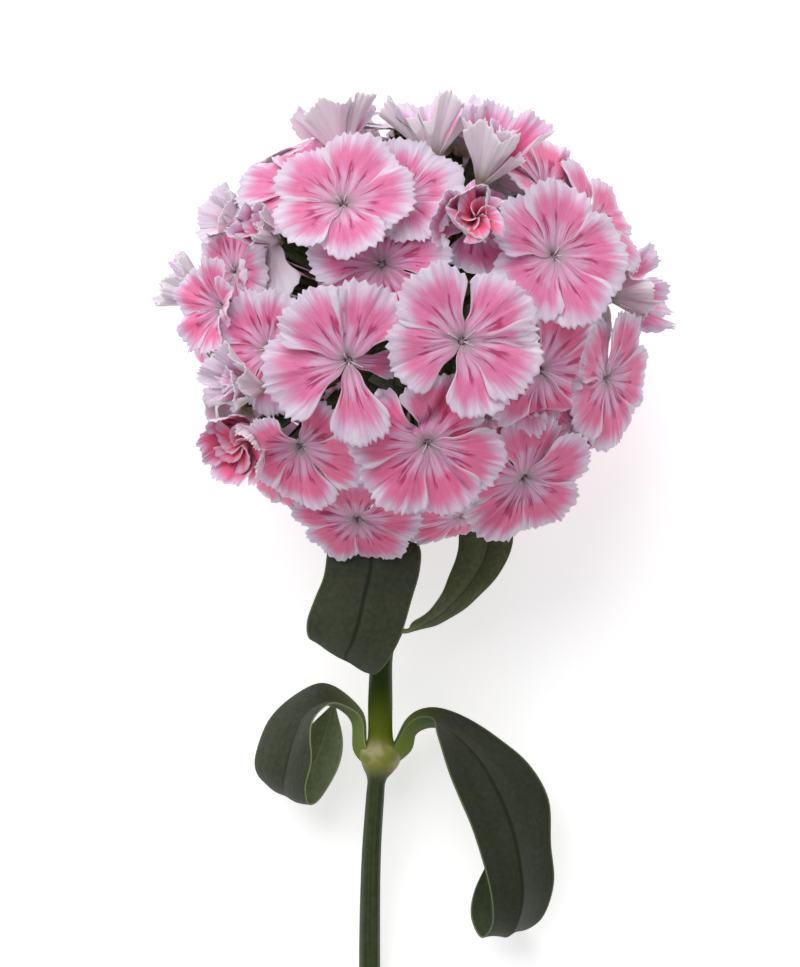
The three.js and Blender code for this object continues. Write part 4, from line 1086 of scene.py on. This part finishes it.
LEAF_STEPS, LEAF_COLUMNS = 7, 33
LEAF_HALF = 0.24  # half the thickness of a leaf's blade
LEAF_ARCH = 0.055  # how high each half is arched, as a share of its width
LEAF_WAVE = 0.1  # how deep the margin waves
RIB_HIGH, RIB_WIDE = 0.2, 0.06


def fine_leaf(name, joint, rows, shade, looks):
    """A leaf: smooth curves through the margins and the midrib, joined by straight lines with t from -1 to 1.
    Each half is arched by sin(pi |t|) and waves at its edge by t^2. It is thin there, with a raised rib."""
    lines = through(rows, LEAF_STEPS) + HEAD + joint
    far, rib, near = (lines[:, i][:, None] for i in range(3))
    t = np.linspace(-1, 1, LEAF_COLUMNS)[None, :]
    s = np.linspace(0, 1, len(lines))[:, None]
    across = np.abs(t)
    blade = rib + (far - rib) * np.maximum(-t, 0)[..., None] + (near - rib) * np.maximum(t, 0)[..., None]
    wide = np.where(t < 0, np.linalg.norm(far - rib, axis=-1), np.linalg.norm(near - rib, axis=-1))
    arch = LEAF_ARCH * wide * np.sin(math.pi * across) + LEAF_WAVE * np.sin(40 * s + 3 * t) * across**2
    blade = blade + grid_normals(blade) * arch[..., None]
    half = LEAF_HALF * (1 - 0.5 * across**4) + RIB_HIGH * np.exp(-((across / RIB_WIDE) ** 2)) * (1 - s)
    solid = Solid()
    # the leaf's painted shade goes into the tint
    solid.tint = shade
    solid.add_sheet(blade, together(t, s, len(name)), half, 0, 1)
    solid.piece(name + "_fine", looks, [name])


def build_flower():
    """Every piece, each kind with its own materials."""
    lines = grown_lines()
    florets = placed_florets()
    fine_florets(florets, [petal_face(lines), petal_back(lines), filament()])
    calyx = green_skin("calyx", lines, (38, 52, 20), (84, 98, 44), 6.0)[0]
    bract = green_skin("bract", lines, (40, 54, 20), (104, 116, 60), 3.0)[0]
    fine_stalks(florets, [calyx, bract])
    pith = green_skin("cut_pith", lines, (150, 156, 104), (190, 192, 150), 3.0, 0.7)[0]
    fine_stem([stem_skin(lines), pith])
    sides = {key: leaf_skin(f"leaf_{key}_side", lines, *look) for key, look in LEAF_SIDES.items()}
    for name, (joint, rows) in LEAVES.items():
        shade, front, back = LEAF_LOOKS[name]
        fine_leaf(name, joint, rows, shade, [sides[front], sides[back]])


# ---- table, light and camera ----
TABLE_HALF = 3.0  # in metres


def build_table():
    """A pale table that gives back nearly all of its light."""
    mesh = bpy.data.meshes.new("table")
    corners = [(x * TABLE_HALF, y * TABLE_HALF, 0) for x, y in ((-1, -1), (1, -1), (1, 1), (-1, 1))]
    mesh.from_pydata(corners, [], [(0, 1, 2, 3)])
    material, _, shader = new_material("table_white")
    put(shader, {
        "Base Color": (0.93, 0.93, 0.93, 1), "Roughness": 0.9,
        "Emission Color": (1, 1, 1, 1), "Emission Strength": 0.5,
    })
    mesh.materials.append(material)
    in_scene("table", mesh)


def build_light():
    """Even white light from all round, and a soft sun from above the upper left of the picture."""
    world = bpy.data.worlds.new("daylight")
    bpy.context.scene.world = world
    world.use_nodes = True
    put(world.node_tree.nodes["Background"], {"Color": (1, 1, 1, 1), "Strength": 0.4})
    sun = bpy.data.lights.new("key", "SUN")
    sun.energy, sun.angle = 1.9, math.radians(50)
    in_scene("key", sun).rotation_euler = (math.radians(-38), math.radians(-19), 0)


PIXELS_HIGH = 967
SCALE = 5.6  # pixels for each millimetre at the height of the middle of the head
DISTANCE = 1200.0  # from the camera to the middle of the head, in mm
CENTRE = (-1.79, -28.3)  # what the middle of the picture shows, from the middle of the head, in mm
SENSOR = 36.0


def build_camera():
    """A camera that looks down on the head, turned a little so that the whole flower fills the picture."""
    data = bpy.data.cameras.new("camera")
    data.sensor_fit = "VERTICAL"
    data.sensor_height = SENSOR
    data.lens = SENSOR * DISTANCE / (PIXELS_HIGH / SCALE)
    data.clip_end = 100
    camera = in_scene("camera", data)
    camera.location = (HEAD + (0, 0, DISTANCE)) * MM
    camera.rotation_euler = (math.atan2(CENTRE[1], DISTANCE), -math.atan2(CENTRE[0], DISTANCE), 0)
    bpy.context.scene.camera = camera


build_flower()
build_table()
build_light()
build_camera()
bpy.context.scene.view_settings.view_transform = "Standard"
